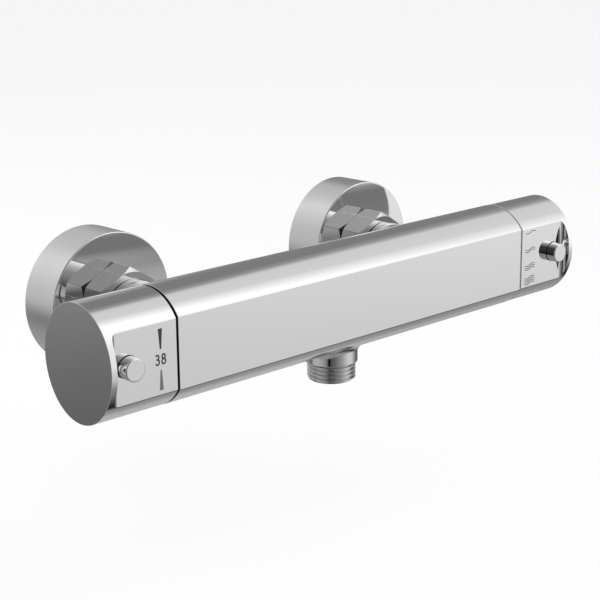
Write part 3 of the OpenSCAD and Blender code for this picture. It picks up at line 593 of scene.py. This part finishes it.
# Material of each CAD node. A star stands for hot and for cold
PAINT = {
    brass: ["*_inlet_nipple", "cartridge_nut", "cartridge_sleeve", "cartridge_seat",
            "temperature_spindle", "regulating_nut", "headwork_bonnet", "flow_spindle",
            "wax_piston", "overload_plunger"],
    rubber: ["nipple_orings", "flange_orings", "*_strainer_washer", "cartridge_orings",
             "temperature_spindle_oring", "spool_oring", "headwork_oring",
             "flow_spindle_oring", "disc_seal"],
    steel: ["*_check_spring", "overload_spring", "return_spring", "safety_button_spring",
            "eco_button_spring", "plunger_ring", "spindle_circlip", "temperature_carrier_screw",
            "flow_carrier_screw", "temperature_grub_screw", "flow_grub_screw"],
    white_plastic: ["*_check_housing", "mixing_spool", "temperature_stop_ring",
                    "flow_stop_ring", "temperature_carrier", "flow_carrier"],
    red_plastic: ["*_check_poppet"],
    ceramic: ["moving_disc", "fixed_disc"],
    wax_copper: ["wax_element"],
    black: ["temperature_glide_ring"],
    grey: ["flow_glide_ring"],
    chrome: ["body_casting", "*_union_nut", "*_wall_flange", "temperature_handle", "flow_handle",
             "safety_button", "eco_button"],
    plated: ["*_s_union"],
}
for material, names in PAINT.items():
    for name in {name.replace("*", word) for name in names for word in SIDES}:
        nodes[name].data.materials.clear()
        nodes[name].data.materials.append(material)


def bar_wall(deep, wide, shift=0.0):
    """Height of the bar's wall over its axis, where a boss leaves it, and the wall's normal.

    The oval's half axes are deep along the boss and wide along V, which starts at shift."""
    def height(u, v):
        return deep * np.sqrt(np.maximum(1 - ((np.asarray(v) + shift) / wide) ** 2, 0))

    def normal(u, v):
        n = np.array([0.0, (v + shift) / wide ** 2, height(u, v) / deep ** 2])
        return n / np.linalg.norm(n)

    return height, normal


def stepped_hole(skin, place, unit, stations, out):
    """Walls of a round hole through its (radius, station) points. Its steps face along out * W."""
    c, s = unit.T
    for (r0, w0), (r1, w1) in zip(stations, stations[1:]):
        skin.grid([place.point(r0 * c, r0 * s, w0 + 0 * c),
                   place.point(r1 * c, r1 * s, w1 + 0 * c)],
                  place.vector(-c, -s, 0 * c) if r0 == r1 else out * place.w, closed=True)


def end_cap(skin, place, loop, bore, depth):
    """Flat end with a round mouth, and the stepped chamber behind it."""
    holed(skin, loop, circle(0, 0, bore[0], MOUTH_POINTS),
          lambda u, v: (place.point(u, v, 0 * u), place.w))
    stepped_hole(skin, place, circle(0, 0, 1, MOUTH_POINTS),
                 [(bore[0], 0.0), (bore[0], -depth[0]), (bore[1], -depth[0]),
                  (bore[1], -depth[1]), (0.0, -depth[1])], 1.0)


def build_body():
    """The bar's skin and end faces, the inlet bosses, the outlet collar and the hose thread."""
    skin = Skin()
    place = bar_frame(1)
    length = 2 * HALF
    near = bar_round(-length)
    far = [(-length - x, e, r, -w) for x, e, r, w in reversed(near)]
    # The skin is open over the outlet's bore, in a patch of the underside
    pocket_r, patch, pocket_z = 9.0, 11.6, -15.0
    rows = near + [(-HALF - patch, 0, 1, 0), (-HALF + patch, 0, 1, 0)] + far
    parts = section(OVAL_Y, OVAL_Z, FLAT, FLAT_EDGE)
    t = parts["arc"][2]
    spread = [math.acos(-y / OVAL_Y) for y in (OUTLET_BACK - patch, OUTLET_BACK + patch)]
    c0 = int(np.searchsorted(t, 2 * math.pi - spread[1])) - 1
    c1 = int(np.searchsorted(t, 2 * math.pi - spread[0])) + 1
    ring = circle(0, 0, pocket_r, MOUTH_POINTS)
    hole = [(-HALF + x, 2 * math.pi - math.acos(-(y + OUTLET_BACK) / OVAL_Y)) for x, y in ring]
    k = len(near)
    outlines = shell_rows(skin, place, OVAL_Y, OVAL_Z, FLAT, rows, (k, k + 1, c0, c1), hole)
    half = parts["half"]
    w, e, radial, axial = np.array(rows).T
    skin.grid(np.stack([place.point(-FLAT + e, z + 0 * w, w) for z in (-half, half)], 1),
              place.vector(-radial, 0 * w, axial)[:, None])
    # Pocket behind the outlet, so that its bore isn't closed by the bar's own skin
    angle = around(MOUTH_POINTS)
    under = bar_wall(OVAL_Z, OVAL_Y, OUTLET_BACK)
    rim = np.array([[x, -AXIS + OUTLET_BACK + y, -under[0](x, y)] for x, y in ring])
    floor = np.array([[x, -AXIS + OUTLET_BACK + y, pocket_z] for x, y in ring])
    inwards = np.stack([-np.cos(angle), -np.sin(angle), 0 * angle], 1)
    skin.grid([rim, floor], inwards, closed=True)
    lid = np.stack([floor, np.broadcast_to([0, -AXIS + OUTLET_BACK, pocket_z], floor.shape)])
    skin.grid(lid, [0, 0, -1.0], closed=True)
    # End faces with the mouths and chambers of the headwork and the cartridge
    left = bar_frame(-1)
    end_cap(skin, place, loop_of(outlines, len(rows) - 1), (11.0, 10.0), (10.0, 44.5))
    end_cap(skin, left, loop_of(outlines, 0), (14.2, 13.1), (10.0, 54.5))
    # Inlet bosses, in stations from the wall: where they start, where the nipple ends, how deep the
    # poppet's room is, how deep the boss runs into the bar, and where it has its root's radius
    boss_start, nipple_end, poppet_end, boss_deep, root_at = 33.2, 44.1, 54.0, 62.0, 65.35
    boss_r, root_r, bore, poppet_r, boss_soft, boss_fillet = 12.6, 13.0, 10.6, 8, 0.45, 2.0
    slope = (root_r - boss_r) / (root_at - boss_start)
    wide = boss_r + slope * (boss_deep - boss_start)
    for side in SIDES.values():
        revolve(skin, front_frame(side * INLET),
                [(bore, boss_start), (boss_r, boss_start), (wide, boss_deep), (0, boss_deep),
                 (0, poppet_end), (poppet_r, poppet_end), (poppet_r, nipple_end),
                 (bore, nipple_end)], [0, boss_soft, 0, 0, 0, 0, 0, 0], segments=192)
        back = Frame3([side * INLET, -AXIS, 0], [1, 0, 0], [0, 0, 1], [0, 1, 0])
        fillet_ring(skin, back, lambda w: boss_r + slope * (AXIS - w - boss_start),
                    math.atan(slope), boss_fillet, *bar_wall(OVAL_Y, OVAL_Z))
    # Outlet collar, its fillet and the hose thread, in stations below the axis
    collar_r, outlet_bore, collar_start, collar_end, thread_end = 11.4, 7, 16, 30, 37.9
    collar_soft, collar_fillet = 0.4, 3.5
    down = Frame3([0, -AXIS + OUTLET_BACK, 0], [1, 0, 0], [0, 1, 0], [0, 0, -1])
    revolve(skin, down, [(outlet_bore, collar_start), (collar_r, collar_start),
                         (collar_r, collar_end), (outlet_bore, collar_end)],
            [0, 0, collar_soft, 0], segments=192)
    fillet_ring(skin, down, lambda w: collar_r + 0 * w, 0.0, collar_fillet, *under)
    thread(skin, down, HOSE_CORE_R, HOSE_CREST_R, HOSE_PITCH, collar_end, thread_end,
           outlet_bore, slot=1)
    skin.build("body_shell", [chrome, cut_chrome], "root", ["body_casting"])


def build_handle(side, name):
    """Cup with a flat front, a step up to its full oval, and holes for button and grub screw."""
    skin = Skin()
    place = bar_frame(side)
    step_rows, front_points, tail_rows = 15, 49, 13
    a, b = OVAL_Y - INSET, OVAL_Z - INSET
    straight = RIM_AT - FILLET
    start = bar_round(GAP)
    phi = np.linspace(0, math.pi / 2, step_rows)
    steps = [(straight + FILLET * math.sin(p), FLAT + FILLET * (1 - math.cos(p)), p) for p in phi]
    rows = [(x, FLAT, e, r, w, 0.0) for x, e, r, w in start]
    rows.append((PATCH_FROM, FLAT, 0.0, 1.0, 0.0, 0.0))
    rows += [(x, f, 0.0, 1.0, 0.0, p) for x, f, p in steps]
    r0 = len(start)
    r1 = r0 + 1 + int(np.searchsorted([s[0] for s in steps], PATCH_TO))
    t_end = corner_angle(a, FLAT + FILLET)
    front = np.linspace(-t_end, t_end, front_points)
    share = np.sin(front) / math.sin(t_end)
    arcs, angles, lows, highs, fronts, normals = [], [], [], [], [], []
    # The flat's bevel fades out over the last part of the step, to next to nothing
    fade_from, least = 0.9, 1e-5
    for x, f, e, r, w, p in rows:
        d = FLAT_EDGE * float(1 - smooth((p - fade_from) / (math.pi / 2 - fade_from)))
        parts = section(a, b, f, max(d, least))
        arc, n, t = parts["arc"]
        arcs.append(place.point(*(arc - e * n).T, x + 0 * t))
        angles.append(t)
        flat_n = np.array([-math.cos(p) * r, 0.0, -math.sin(p) + w])
        for part, keep in (("low", lows), ("high", highs)):
            pts, s, out = parts[part]
            n2 = (1 - s)[:, None] * np.array([out[0] * r, out[1] * r, w]) + s[:, None] * flat_n
            flat2 = (1 - s)[:, None] * out + s[:, None] * np.array([-1.0, 0.0])
            flat2 /= np.linalg.norm(flat2, axis=1, keepdims=True)
            moved = pts - e * flat2
            keep.append((place.point(*moved.T, x + 0 * s), place.vector(*n2.T)))
        normals.append(place.vector(*(r * n).T, w + 0 * t))
        z = share * parts["half"]
        fronts.append((place.point(-f + e + 0 * z, z, x + 0 * z), place.vector(*flat_n)[None],
                       parts["half"]))
    span = (r0, r1, *patch_columns(angles[r0]))
    skin.grid(arcs, normals, skip=span)
    oval = oval_surface(place, a, b)
    grub_ring = circle(0, 0, GRUB_R, GRUB_POINTS)
    grub_hole = [(GRUB_AT + x, 2 * math.pi - math.acos(-y / a)) for x, y in grub_ring]
    holed(skin, patch_border(rows, angles, span), grub_hole, oval, ANGLE_STRETCH)
    for strip in (lows, highs):
        skin.grid([s[0] for s in strip], [s[1] for s in strip])
    flat_row = len(start) - 1
    skin.grid([f[0][[0, -1]] for f in fronts[:flat_row + 1]],
              [f[1] for f in fronts[:flat_row + 1]])
    first = len(start) + 1
    skin.grid([f[0] for f in fronts[first:]], [f[1] for f in fronts[first:]])
    half = fronts[flat_row][2]
    border = [(rows[flat_row][0], -half), (PATCH_FROM, -half)]
    border += [(straight, z) for z in share * half]
    border += [(PATCH_FROM, half), (rows[flat_row][0], half)]
    button_hole = circle(BUTTON_AT, 0, BUTTON_R + BUTTON_SLIP, MOUTH_POINTS)
    holed(skin, border, button_hole,
          lambda u, v: (place.point(-FLAT + 0 * u, v, u), -place.u))
    # Step wall, rim and rounded outer end. The rim's round eases out towards its two tips
    rim_soft, tip = 0.2, 0.12
    ease = rim_soft * smooth((t_end - np.abs(front)) / tip)
    oval_front, n_front = oval_at(a, b, front)
    chord = np.stack([-(FLAT + FILLET) + 0 * front, b * np.sin(front)], 1)
    lip = oval_front - ease[:, None] * n_front
    skin.grid([place.point(*q.T, RIM_AT + 0 * front) for q in (chord, lip)], -place.w)
    P, N = [], []
    for psi in np.linspace(math.pi / 2, 0, ROUND_ROWS):
        pts = oval_front - (ease * (1 - math.cos(psi)))[:, None] * n_front
        P.append(place.point(*pts.T, RIM_AT + ease * (1 - math.sin(psi))))
        N.append(place.vector(*(math.cos(psi) * n_front).T, -math.sin(psi) + 0 * front))
    skin.grid(P, N)
    t_arc = angles[-1]
    tail = [(HANDLE_END - HANDLE_SOFT + HANDLE_SOFT * math.sin(p), HANDLE_SOFT * (1 - math.cos(p)),
             math.cos(p), math.sin(p)) for p in np.linspace(0, math.pi / 2, tail_rows)]
    for (pts, nrm), first_w in (((oval_front, n_front), RIM_AT + ease),
                                (oval_at(a, b, t_arc), RIM_AT + 0 * t_arc)):
        P = [place.point(*pts.T, first_w)]
        N = [place.vector(*nrm.T, 0 * first_w)]
        for x, e, r, w in tail:
            moved = pts - e * nrm
            P.append(place.point(*moved.T, x + 0 * first_w))
            N.append(place.vector(*(r * nrm).T, w + 0 * first_w))
        skin.grid(P, N)
        skin.grid([P[-1], place.point(0 * first_w, 0 * first_w, HANDLE_END + 0 * first_w)],
                  place.w)
    # Inside of the cup
    ia, ib, inner_flat = OVAL_Y - INSET - SHELL, OVAL_Z - INSET - SHELL, FLAT - SHELL
    inner = section(ia, ib, inner_flat, FLAT_EDGE)
    stations = (GAP, PATCH_FROM, PATCH_INNER_TO, CAVITY_END)
    inner_hole = [(GRUB_AT + x, 2 * math.pi - math.acos(-y / ia)) for x, y in grub_ring]
    outlines = shell_rows(skin, place, ia, ib, inner_flat, [(x, 0, 1, 0) for x in stations],
                          (1, 2, *patch_columns(inner["arc"][2])), inner_hole, inward=True)
    ih = inner["half"]
    border = [(x, -ih) for x in stations] + [(x, ih) for x in reversed(stations)]
    holed(skin, border, button_hole,
          lambda u, v: (place.point(-inner_flat + 0 * u, v, u), place.u))
    loop = loop_of(outlines, 3)
    skin.grid([place.point(*(k * loop).T, CAVITY_END + 0 * loop[:, 0]) for k in (1, 0)],
              -place.w, closed=True)
    # Ring-shaped end face beside the gap
    outer_loop = np.concatenate([arcs[0], lows[0][0][1:], fronts[0][0][[-1]],
                                 highs[0][0][::-1][1:-1]])
    inner_loop = loop_of(outlines, 0)
    skin.grid([outer_loop, place.point(*inner_loop.T, GAP + 0 * inner_loop[:, 0])],
              -place.w, closed=True)
    # Walls of the button's hole and the grub screw's hole
    u, v = button_hole.T
    tube_between(skin, place.point(-FLAT + 0 * u, v, u), place.point(-inner_flat + 0 * u, v, u),
                 (0, 1, 0))
    tube_between(skin, oval(*np.array(grub_hole).T)[0],
                 oval_surface(place, ia, ib)(*np.array(inner_hole).T)[0], (0, 0, 1))
    skin.build(name + "_shell", [chrome], name, [name])


def build_button(side, name):
    """Cap with a foot and a pin, and the latch that reaches from it towards the body."""
    skin = Skin()
    x = side * (HALF + BUTTON_AT)
    # Heights over the axis, and radii
    face, foot_low, foot_high, pin_end, foot_r, pin_r = FLAT + 4.8, 11.0, 14.3, 3.8, 5.5, 1.6
    revolve(skin, front_frame(x, -AXIS),
            [(0, face), (BUTTON_R, face), (BUTTON_R, foot_high), (foot_r, foot_high),
             (foot_r, foot_low), (pin_r, foot_low), (pin_r, pin_end), (0, pin_end)],
            [0, 0.55, 0, 0.15, 0.15, 0, 0.2, 0], segments=128, steps=7)
    latch_from, latch_top, latch_half = HALF + 5.0, 12.3, 2
    left, right = sorted((side * latch_from, x))
    box(skin, [left, -AXIS - latch_top, -latch_half], [right, -AXIS - foot_low, latch_half])
    skin.build(name + "_cap", [chrome], name, [name])


def build_flange(side, name):
    """Hollow cover with an inner collar around the union."""
    skin = Skin()
    play, oring_wire, oring_play, collar_wall = 0.2, 1.5, 0.12, 1.6
    # Radii, then stations from the wall
    rim_r, rim_in, grip_r = 30, 28.8, UNION_THREAD_D / 2 + play
    collar_r = UNION_THREAD_D / 2 + oring_wire + oring_play + collar_wall
    face, face_in, collar_back = 20, 18.8, 14
    revolve(skin, front_frame(side * INLET),
            [(rim_in, 0), (rim_r, 0), (rim_r, face), (grip_r, face), (grip_r, collar_back),
             (collar_r, collar_back), (collar_r, face_in), (rim_in, face_in)],
            [0.1, 0.3, 0.5, 0.2, 0.2, 0.2, 0.3, 0.3], segments=256, steps=6, side_slot=1)
    skin.build(name + "_cover", [chrome, soft_chrome], "root", [name])


def build_nut(side, name):
    """Hexagon with rounded corners, bevelled at both ends, and a stepped bore."""
    skin = Skin()
    wall = front_frame(side * INLET)
    start, length, across, face_r, bevel = 20.05, 12.75, 30.0, 15.3, math.radians(36)
    thread_r, neck_r, neck_length = 13.32, 10.9, 2.5
    # Corner rounding, the way the hexagon is turned, and points along a flat and over a corner
    soft, turn, flat_points, corner_points = 0.25, 27.0, 61, 7
    pts, nrm = [], []
    slant = math.tan(math.radians(30))
    for k in range(6):
        a = math.radians(60 * k + 30 + turn)
        n = np.array([math.cos(a), math.sin(a)])
        along = np.array([-n[1], n[0]])
        flat_half = across / 2 * slant - soft * slant
        for s in np.linspace(-1, 1, flat_points):
            pts.append(n * across / 2 + along * s * flat_half)
            nrm.append(n)
        centre = n * (across / 2 - soft) + along * flat_half
        for s in np.linspace(0, 1, corner_points)[1:-1]:
            q = a + math.radians(60) * s
            m = np.array([math.cos(q), math.sin(q)])
            pts.append(centre + soft * m)
            nrm.append(m)
    pts, nrm = np.array(pts), np.array(nrm)
    r = np.linalg.norm(pts, axis=1)
    unit = pts / r[:, None]
    inner_r = np.minimum(r, face_r)[:, None]
    rise = (r - inner_r[:, 0]) * math.tan(bevel)
    end = start + length
    skin.grid([wall.point(*pts.T, w) for w in (start + rise, end - rise)],
              wall.vector(*nrm.T, 0 * r), closed=True)
    for at, out in ((start, -1.0), (end, 1.0)):
        edge_w = at - out * rise
        cone = wall.vector(*(unit * math.sin(bevel)).T, out * math.cos(bevel) + 0 * r)
        face = wall.point(*(unit * inner_r).T, at + 0 * r)
        # The bevel towards the flange takes the near-black metal: painted shade for the notch
        # between nut and flange
        skin.grid([wall.point(*pts.T, edge_w), face], cone, closed=True, slot=1 if out < 0 else 0)
        bore = thread_r if out < 0 else neck_r
        skin.grid([face, wall.point(*(unit * bore).T, at + 0 * r)], out * wall.w, closed=True)
    stepped_hole(skin, wall, unit, [(thread_r, start), (thread_r, end - neck_length),
                                    (neck_r, end - neck_length), (neck_r, end)], -1.0)
    skin.build(name + "_hex", [nut_chrome, painted_shade_chrome], "root", [name])


def plate(skin, outer, holes=(), slot=0):
    """Thin printed shape on the flat front of a handle, its rings in (X, Z)."""
    face = -AXIS - FLAT
    proud, sunk = face - INK, face + INK
    uv, tris = filled(outer, holes)
    for y, out in ((proud, -1.0), (sunk, 1.0)):
        P = np.stack([uv[:, 0], y + 0 * uv[:, 0], uv[:, 1]], 1)
        skin.add(P, [0, out, 0], tris, slot)
    for k, ring in enumerate([outer, *holes]):
        ring = np.array(ring, float)
        nxt = np.roll(ring, -1, 0)
        turn = np.sum(ring[:, 0] * nxt[:, 1] - nxt[:, 0] * ring[:, 1])
        if (turn > 0) == (k > 0):
            ring = ring[::-1]
            nxt = np.roll(ring, -1, 0)
        for a, b in zip(ring, nxt):
            n = [b[1] - a[1], 0.0, a[0] - b[0]]
            skin.add([[a[0], proud, a[1]], [b[0], proud, b[1]],
                      [b[0], sunk, b[1]], [a[0], sunk, a[1]]], n, [(0, 1, 2, 3)], slot)


def oval_arc(centre, radii, start, stop, count=25):
    """Points of an oval between two angles in degrees."""
    t = np.radians(np.linspace(start, stop, count))
    return [(centre[0] + radii[0] * math.cos(a), centre[1] + radii[1] * math.sin(a)) for a in t]


def wedge(skin, middle, wide, far, narrow, near, slot=0):
    """Tapered pointer: half its width at its far and near end, and their heights."""
    plate(skin, [(middle - wide, far), (middle + wide, far),
                 (middle + narrow, near), (middle - narrow, near)], slot=slot)


def print_marks():
    """Figures 38 between two pointers on the left handle, and rows of waves on the right one."""
    middle = -(HALF + 8.7)
    skin = Skin()
    wedge(skin, middle, 0.95, 11.5, 0.34, 3.7)
    # Figures from two ovals, one on the other: pen width, then the radii of the upper and the
    # lower oval, their centres' heights, and the height of the waist between them
    pen, up, down = 0.64, (1.02, 1.175), (1.18, 1.29)
    z_up, z_down, waist = 0.7, -1.185, -0.045
    cx = middle + 1.36
    upper, lower = (oval_arc((cx, z), r, 0, 360, 73)[:-1] for z, r in ((z_up, up), (z_down, down)))

    def outside(p, z, r):
        return ((p[0] - cx) / r[0]) ** 2 + ((p[1] - z) / r[1]) ** 2 > 1

    outline = ([p for p in upper if outside(p, z_down, down)]
               + [p for p in lower if outside(p, z_up, up)])
    outline.sort(key=lambda p: math.atan2(p[1] - waist, p[0] - cx))
    thin = [tuple(q - pen for q in r) for r in (up, down)]
    plate(skin, outline, [oval_arc((cx, z), r, 0, 360, 49)[:-1]
                          for z, r in ((z_up, thin[0]), (z_down, thin[1]))])
    cx = middle - 1.62
    upper = [p for p in oval_arc((cx, z_up), up, 152, -80) if outside(p, z_down, down)]
    lower = [p for p in oval_arc((cx, z_down), down, 80, -152) if outside(p, z_up, up)]
    bar_end = cx - 0.45
    bar = [(bar_end, waist - pen / 2), (bar_end, waist + pen / 2)]
    plate(skin, upper + lower + oval_arc((cx, z_down), thin[1], -152, 90) + bar
          + oval_arc((cx, z_up), thin[0], -90, 152))
    wedge(skin, middle, 0.31, -4.3, 0.92, -12.1, slot=1)
    skin.build("temperature_marks", [ink, pale_ink], "temperature_handle")
    skin = Skin()
    middle = HALF + 7.1
    half_length, swing, rise, apart, half_pen = 3.7, 0.5, 0.03, 0.92, 0.16
    along = np.linspace(-half_length, half_length, 33)
    wave = swing * np.sin(math.pi * along / half_length) + rise * along
    for count, z in ((1, 12.0), (2, 3.6), (3, -4.3), (4, -10.8)):
        for k in range(count):
            line = z + apart * (k - (count - 1) / 2) + wave
            rows = [[(middle + x, h + off) for x, h in zip(along, line)]
                    for off in (-half_pen, half_pen)]
            plate(skin, rows[0] + rows[1][::-1])
    skin.build("flow_marks", [ink], "flow_handle")


# Level of the studio's cards and openings around the valve, as (azimuth in degrees, level):
# from below, at a low angle, level with the valve and from above
BANDS = [
    [(-180, .3), (-120, .25), (-80, .3), (-45, .25), (-28, .08), (-14, .02), (-5, .04), (4, .27),
     (16, .32), (28, .46), (50, .5), (90, .36), (140, .28), (180, .3)],
    [(-180, .4), (-163, .28), (-151, .14), (-146, 0), (-141, 0), (-135, .09), (-116, .14),
     (-90, .3), (-54, .64), (-38, .61), (-22, .4), (-6, .17), (10, .1), (26, .24), (40, .45),
     (60, .45), (84, .22), (100, .22), (112, .3), (118, .13), (132, .13), (140, .38), (160, .48),
     (180, .4)],
    [(-180, .36), (-160, .28), (-150, .03), (-134, .03), (-116, .18), (-87, .38), (-66, .7),
     (-48, 1.05), (-34, 1.05), (-22, .66), (-8, .3), (10, .18), (34, .22), (50, .24), (56, .45),
     (90, .5), (113, .6), (140, .5), (180, .36)],
    [(-180, .36), (-160, .28), (-150, .04), (-130, .04), (-108, .24), (-85, .32), (-66, .55),
     (-48, 1.1), (-34, 1.2), (-24, .92), (-14, .72), (14, .68), (24, .34), (34, .22), (50, .22),
     (56, .5), (90, .55), (113, .85), (135, .5), (180, .36)]]
# Heights of a ray's direction between which each band passes into the next
PASSES = [(-0.62, -0.36), (-0.36, -0.04), (-0.04, 0.42)]
BRIGHTEST = 1.25


def build_world():
    """White to the camera, an even fill for dull surfaces, and the bands to what mirrors."""
    world = bpy.data.worlds.new("studio")
    bpy.context.scene.world = world
    world.use_nodes = True
    t = world.node_tree
    t.nodes.clear()
    coords = add_node(t, "TexCoord")
    split = add_node(t, "SeparateXYZ", {0: coords.outputs["Generated"]})
    turn = add_node(t, "Math", {0: split.outputs["Y"], 1: split.outputs["X"]})
    turn.operation = "ARCTAN2"
    azimuth = add_node(t, "MapRange", {"Value": turn.outputs[0], "From Min": -math.pi,
                                       "From Max": math.pi})

    def ramp(stops):
        r = add_node(t, "ValToRGB", {"Fac": azimuth.outputs["Result"]})
        elements = r.color_ramp.elements
        while len(elements) < len(stops):
            elements.new(0.5)
        for e, (at, level) in zip(elements, stops):
            e.position = (at + 180) / 360
            tone = level / BRIGHTEST
            e.color = (tone, tone, tone, 1)
        return r.outputs["Color"]

    def between(low, high, a, b):
        rise = add_node(t, "MapRange", {"Value": split.outputs["Z"], "From Min": low,
                                        "From Max": high})
        rise.interpolation_type = "SMOOTHSTEP"
        mix = add_node(t, "Mix")
        mix.data_type = "RGBA"
        for socket, output in (("Factor", rise.outputs["Result"]), (6, a), (7, b)):
            t.links.new(output, mix.inputs[socket])
        return mix.outputs[2]

    colour = ramp(BANDS[0])
    for (low, high), band in zip(PASSES, BANDS[1:]):
        colour = between(low, high, colour, ramp(band))
    glossy = add_node(t, "Background", {"Color": colour, "Strength": BRIGHTEST})
    fill = add_node(t, "Background", {"Color": (1, 1, 1, 1), "Strength": 0.6})
    white = add_node(t, "Background", {"Color": (1, 1, 1, 1), "Strength": 1.0})
    path = add_node(t, "LightPath")
    shader = fill.outputs[0]
    for ray, other in (("Is Glossy Ray", glossy), ("Is Camera Ray", white),
                       ("Is Transmission Ray", white)):
        shader = mixed(t, path.outputs[ray], shader, other.outputs[0])
    add_node(t, "OutputWorld", {"Surface": shader})


def build_floor():
    """Large pale floor under the valve, almost as white as the background."""
    mesh = bpy.data.meshes.new("floor")
    half, under = 14.0, -0.12
    mesh.from_pydata([(-half, -half, 0), (half, -half, 0), (half, half, 0), (-half, half, 0)],
                     [], [(0, 1, 2, 3)])
    floor = new_object("floor", mesh)
    floor.location = (0, -0.08, under)
    m, t, shader = tree("pale_floor")
    shader.inputs["Base Color"].default_value = (0.92, 0.92, 0.92, 1)
    noise_rough(t, shader, 0.85, 0.95, 5.0)
    glow = add_node(t, "Emission", {"Color": (1, 1, 1, 1), "Strength": 1.0})
    path, own_white = add_node(t, "LightPath"), 0.82
    share = add_node(t, "MapRange", {"Value": path.outputs["Is Camera Ray"],
                                     "To Max": own_white})
    upper = mixed(t, share.outputs["Result"], shader.outputs[0], glow.outputs[0])
    # Seen from below, the floor lets the view through
    side = add_node(t, "NewGeometry")
    clear = add_node(t, "BsdfTransparent")
    both = mixed(t, side.outputs["Backfacing"], upper, clear.outputs[0])
    t.links.new(both, t.nodes["Material Output"].inputs["Surface"])
    mesh.materials.append(m)
    floor.visible_glossy = False


def area(name, location, target, size, power):
    """Area light that mirrors don't show."""
    light = bpy.data.lights.new(name, "AREA")
    light.shape = "RECTANGLE"
    light.size, light.size_y = size
    light.energy = power
    lamp = new_object(name, light)
    lamp.location = location
    lamp.rotation_euler = (Vector(target) - Vector(location)).to_track_quat("-Z", "Y").to_euler()
    lamp.visible_glossy = False


def build_camera():
    """The photo's camera."""
    data = bpy.data.cameras.new("camera")
    data.lens, data.sensor_width = 91.2, 36.0
    data.shift_x, data.shift_y = 0.0024, -0.0012
    camera = new_object("camera", data)
    place, target = Vector((-0.4418, -0.5153, 0.1667)), Vector((-0.0191, -0.0736, 0.0007))
    forward = (target - place).normalized()
    right = forward.cross(Vector((0, 0, 1))).normalized()
    up = right.cross(forward)
    roll = math.radians(-0.55)
    c, s = math.cos(roll), math.sin(roll)
    right, up = c * right + s * up, -s * right + c * up
    matrix = Matrix((right, up, -forward)).transposed().to_4x4()
    matrix.translation = place
    camera.matrix_world = matrix
    bpy.context.scene.camera = camera


build_body()
build_handle(-1, "temperature_handle")
build_handle(1, "flow_handle")
build_button(-1, "safety_button")
build_button(1, "eco_button")
for word, side in SIDES.items():
    build_flange(side, word + "_wall_flange")
    build_nut(side, word + "_union_nut")
print_marks()
build_world()
build_floor()
area("key", (0.7, -0.9, 1.0), (0, -0.06, 0), (0.8, 0.8), 9.0)
area("fill", (-1.0, -0.5, 0.8), (0, -0.06, 0), (0.8, 0.8), 4.0)
area("back", (-0.42, 0.95, 0.62), (0, -0.01, 0), (0.7, 0.45), 5.0)
build_camera()
bpy.context.scene.view_settings.view_transform = "Standard"
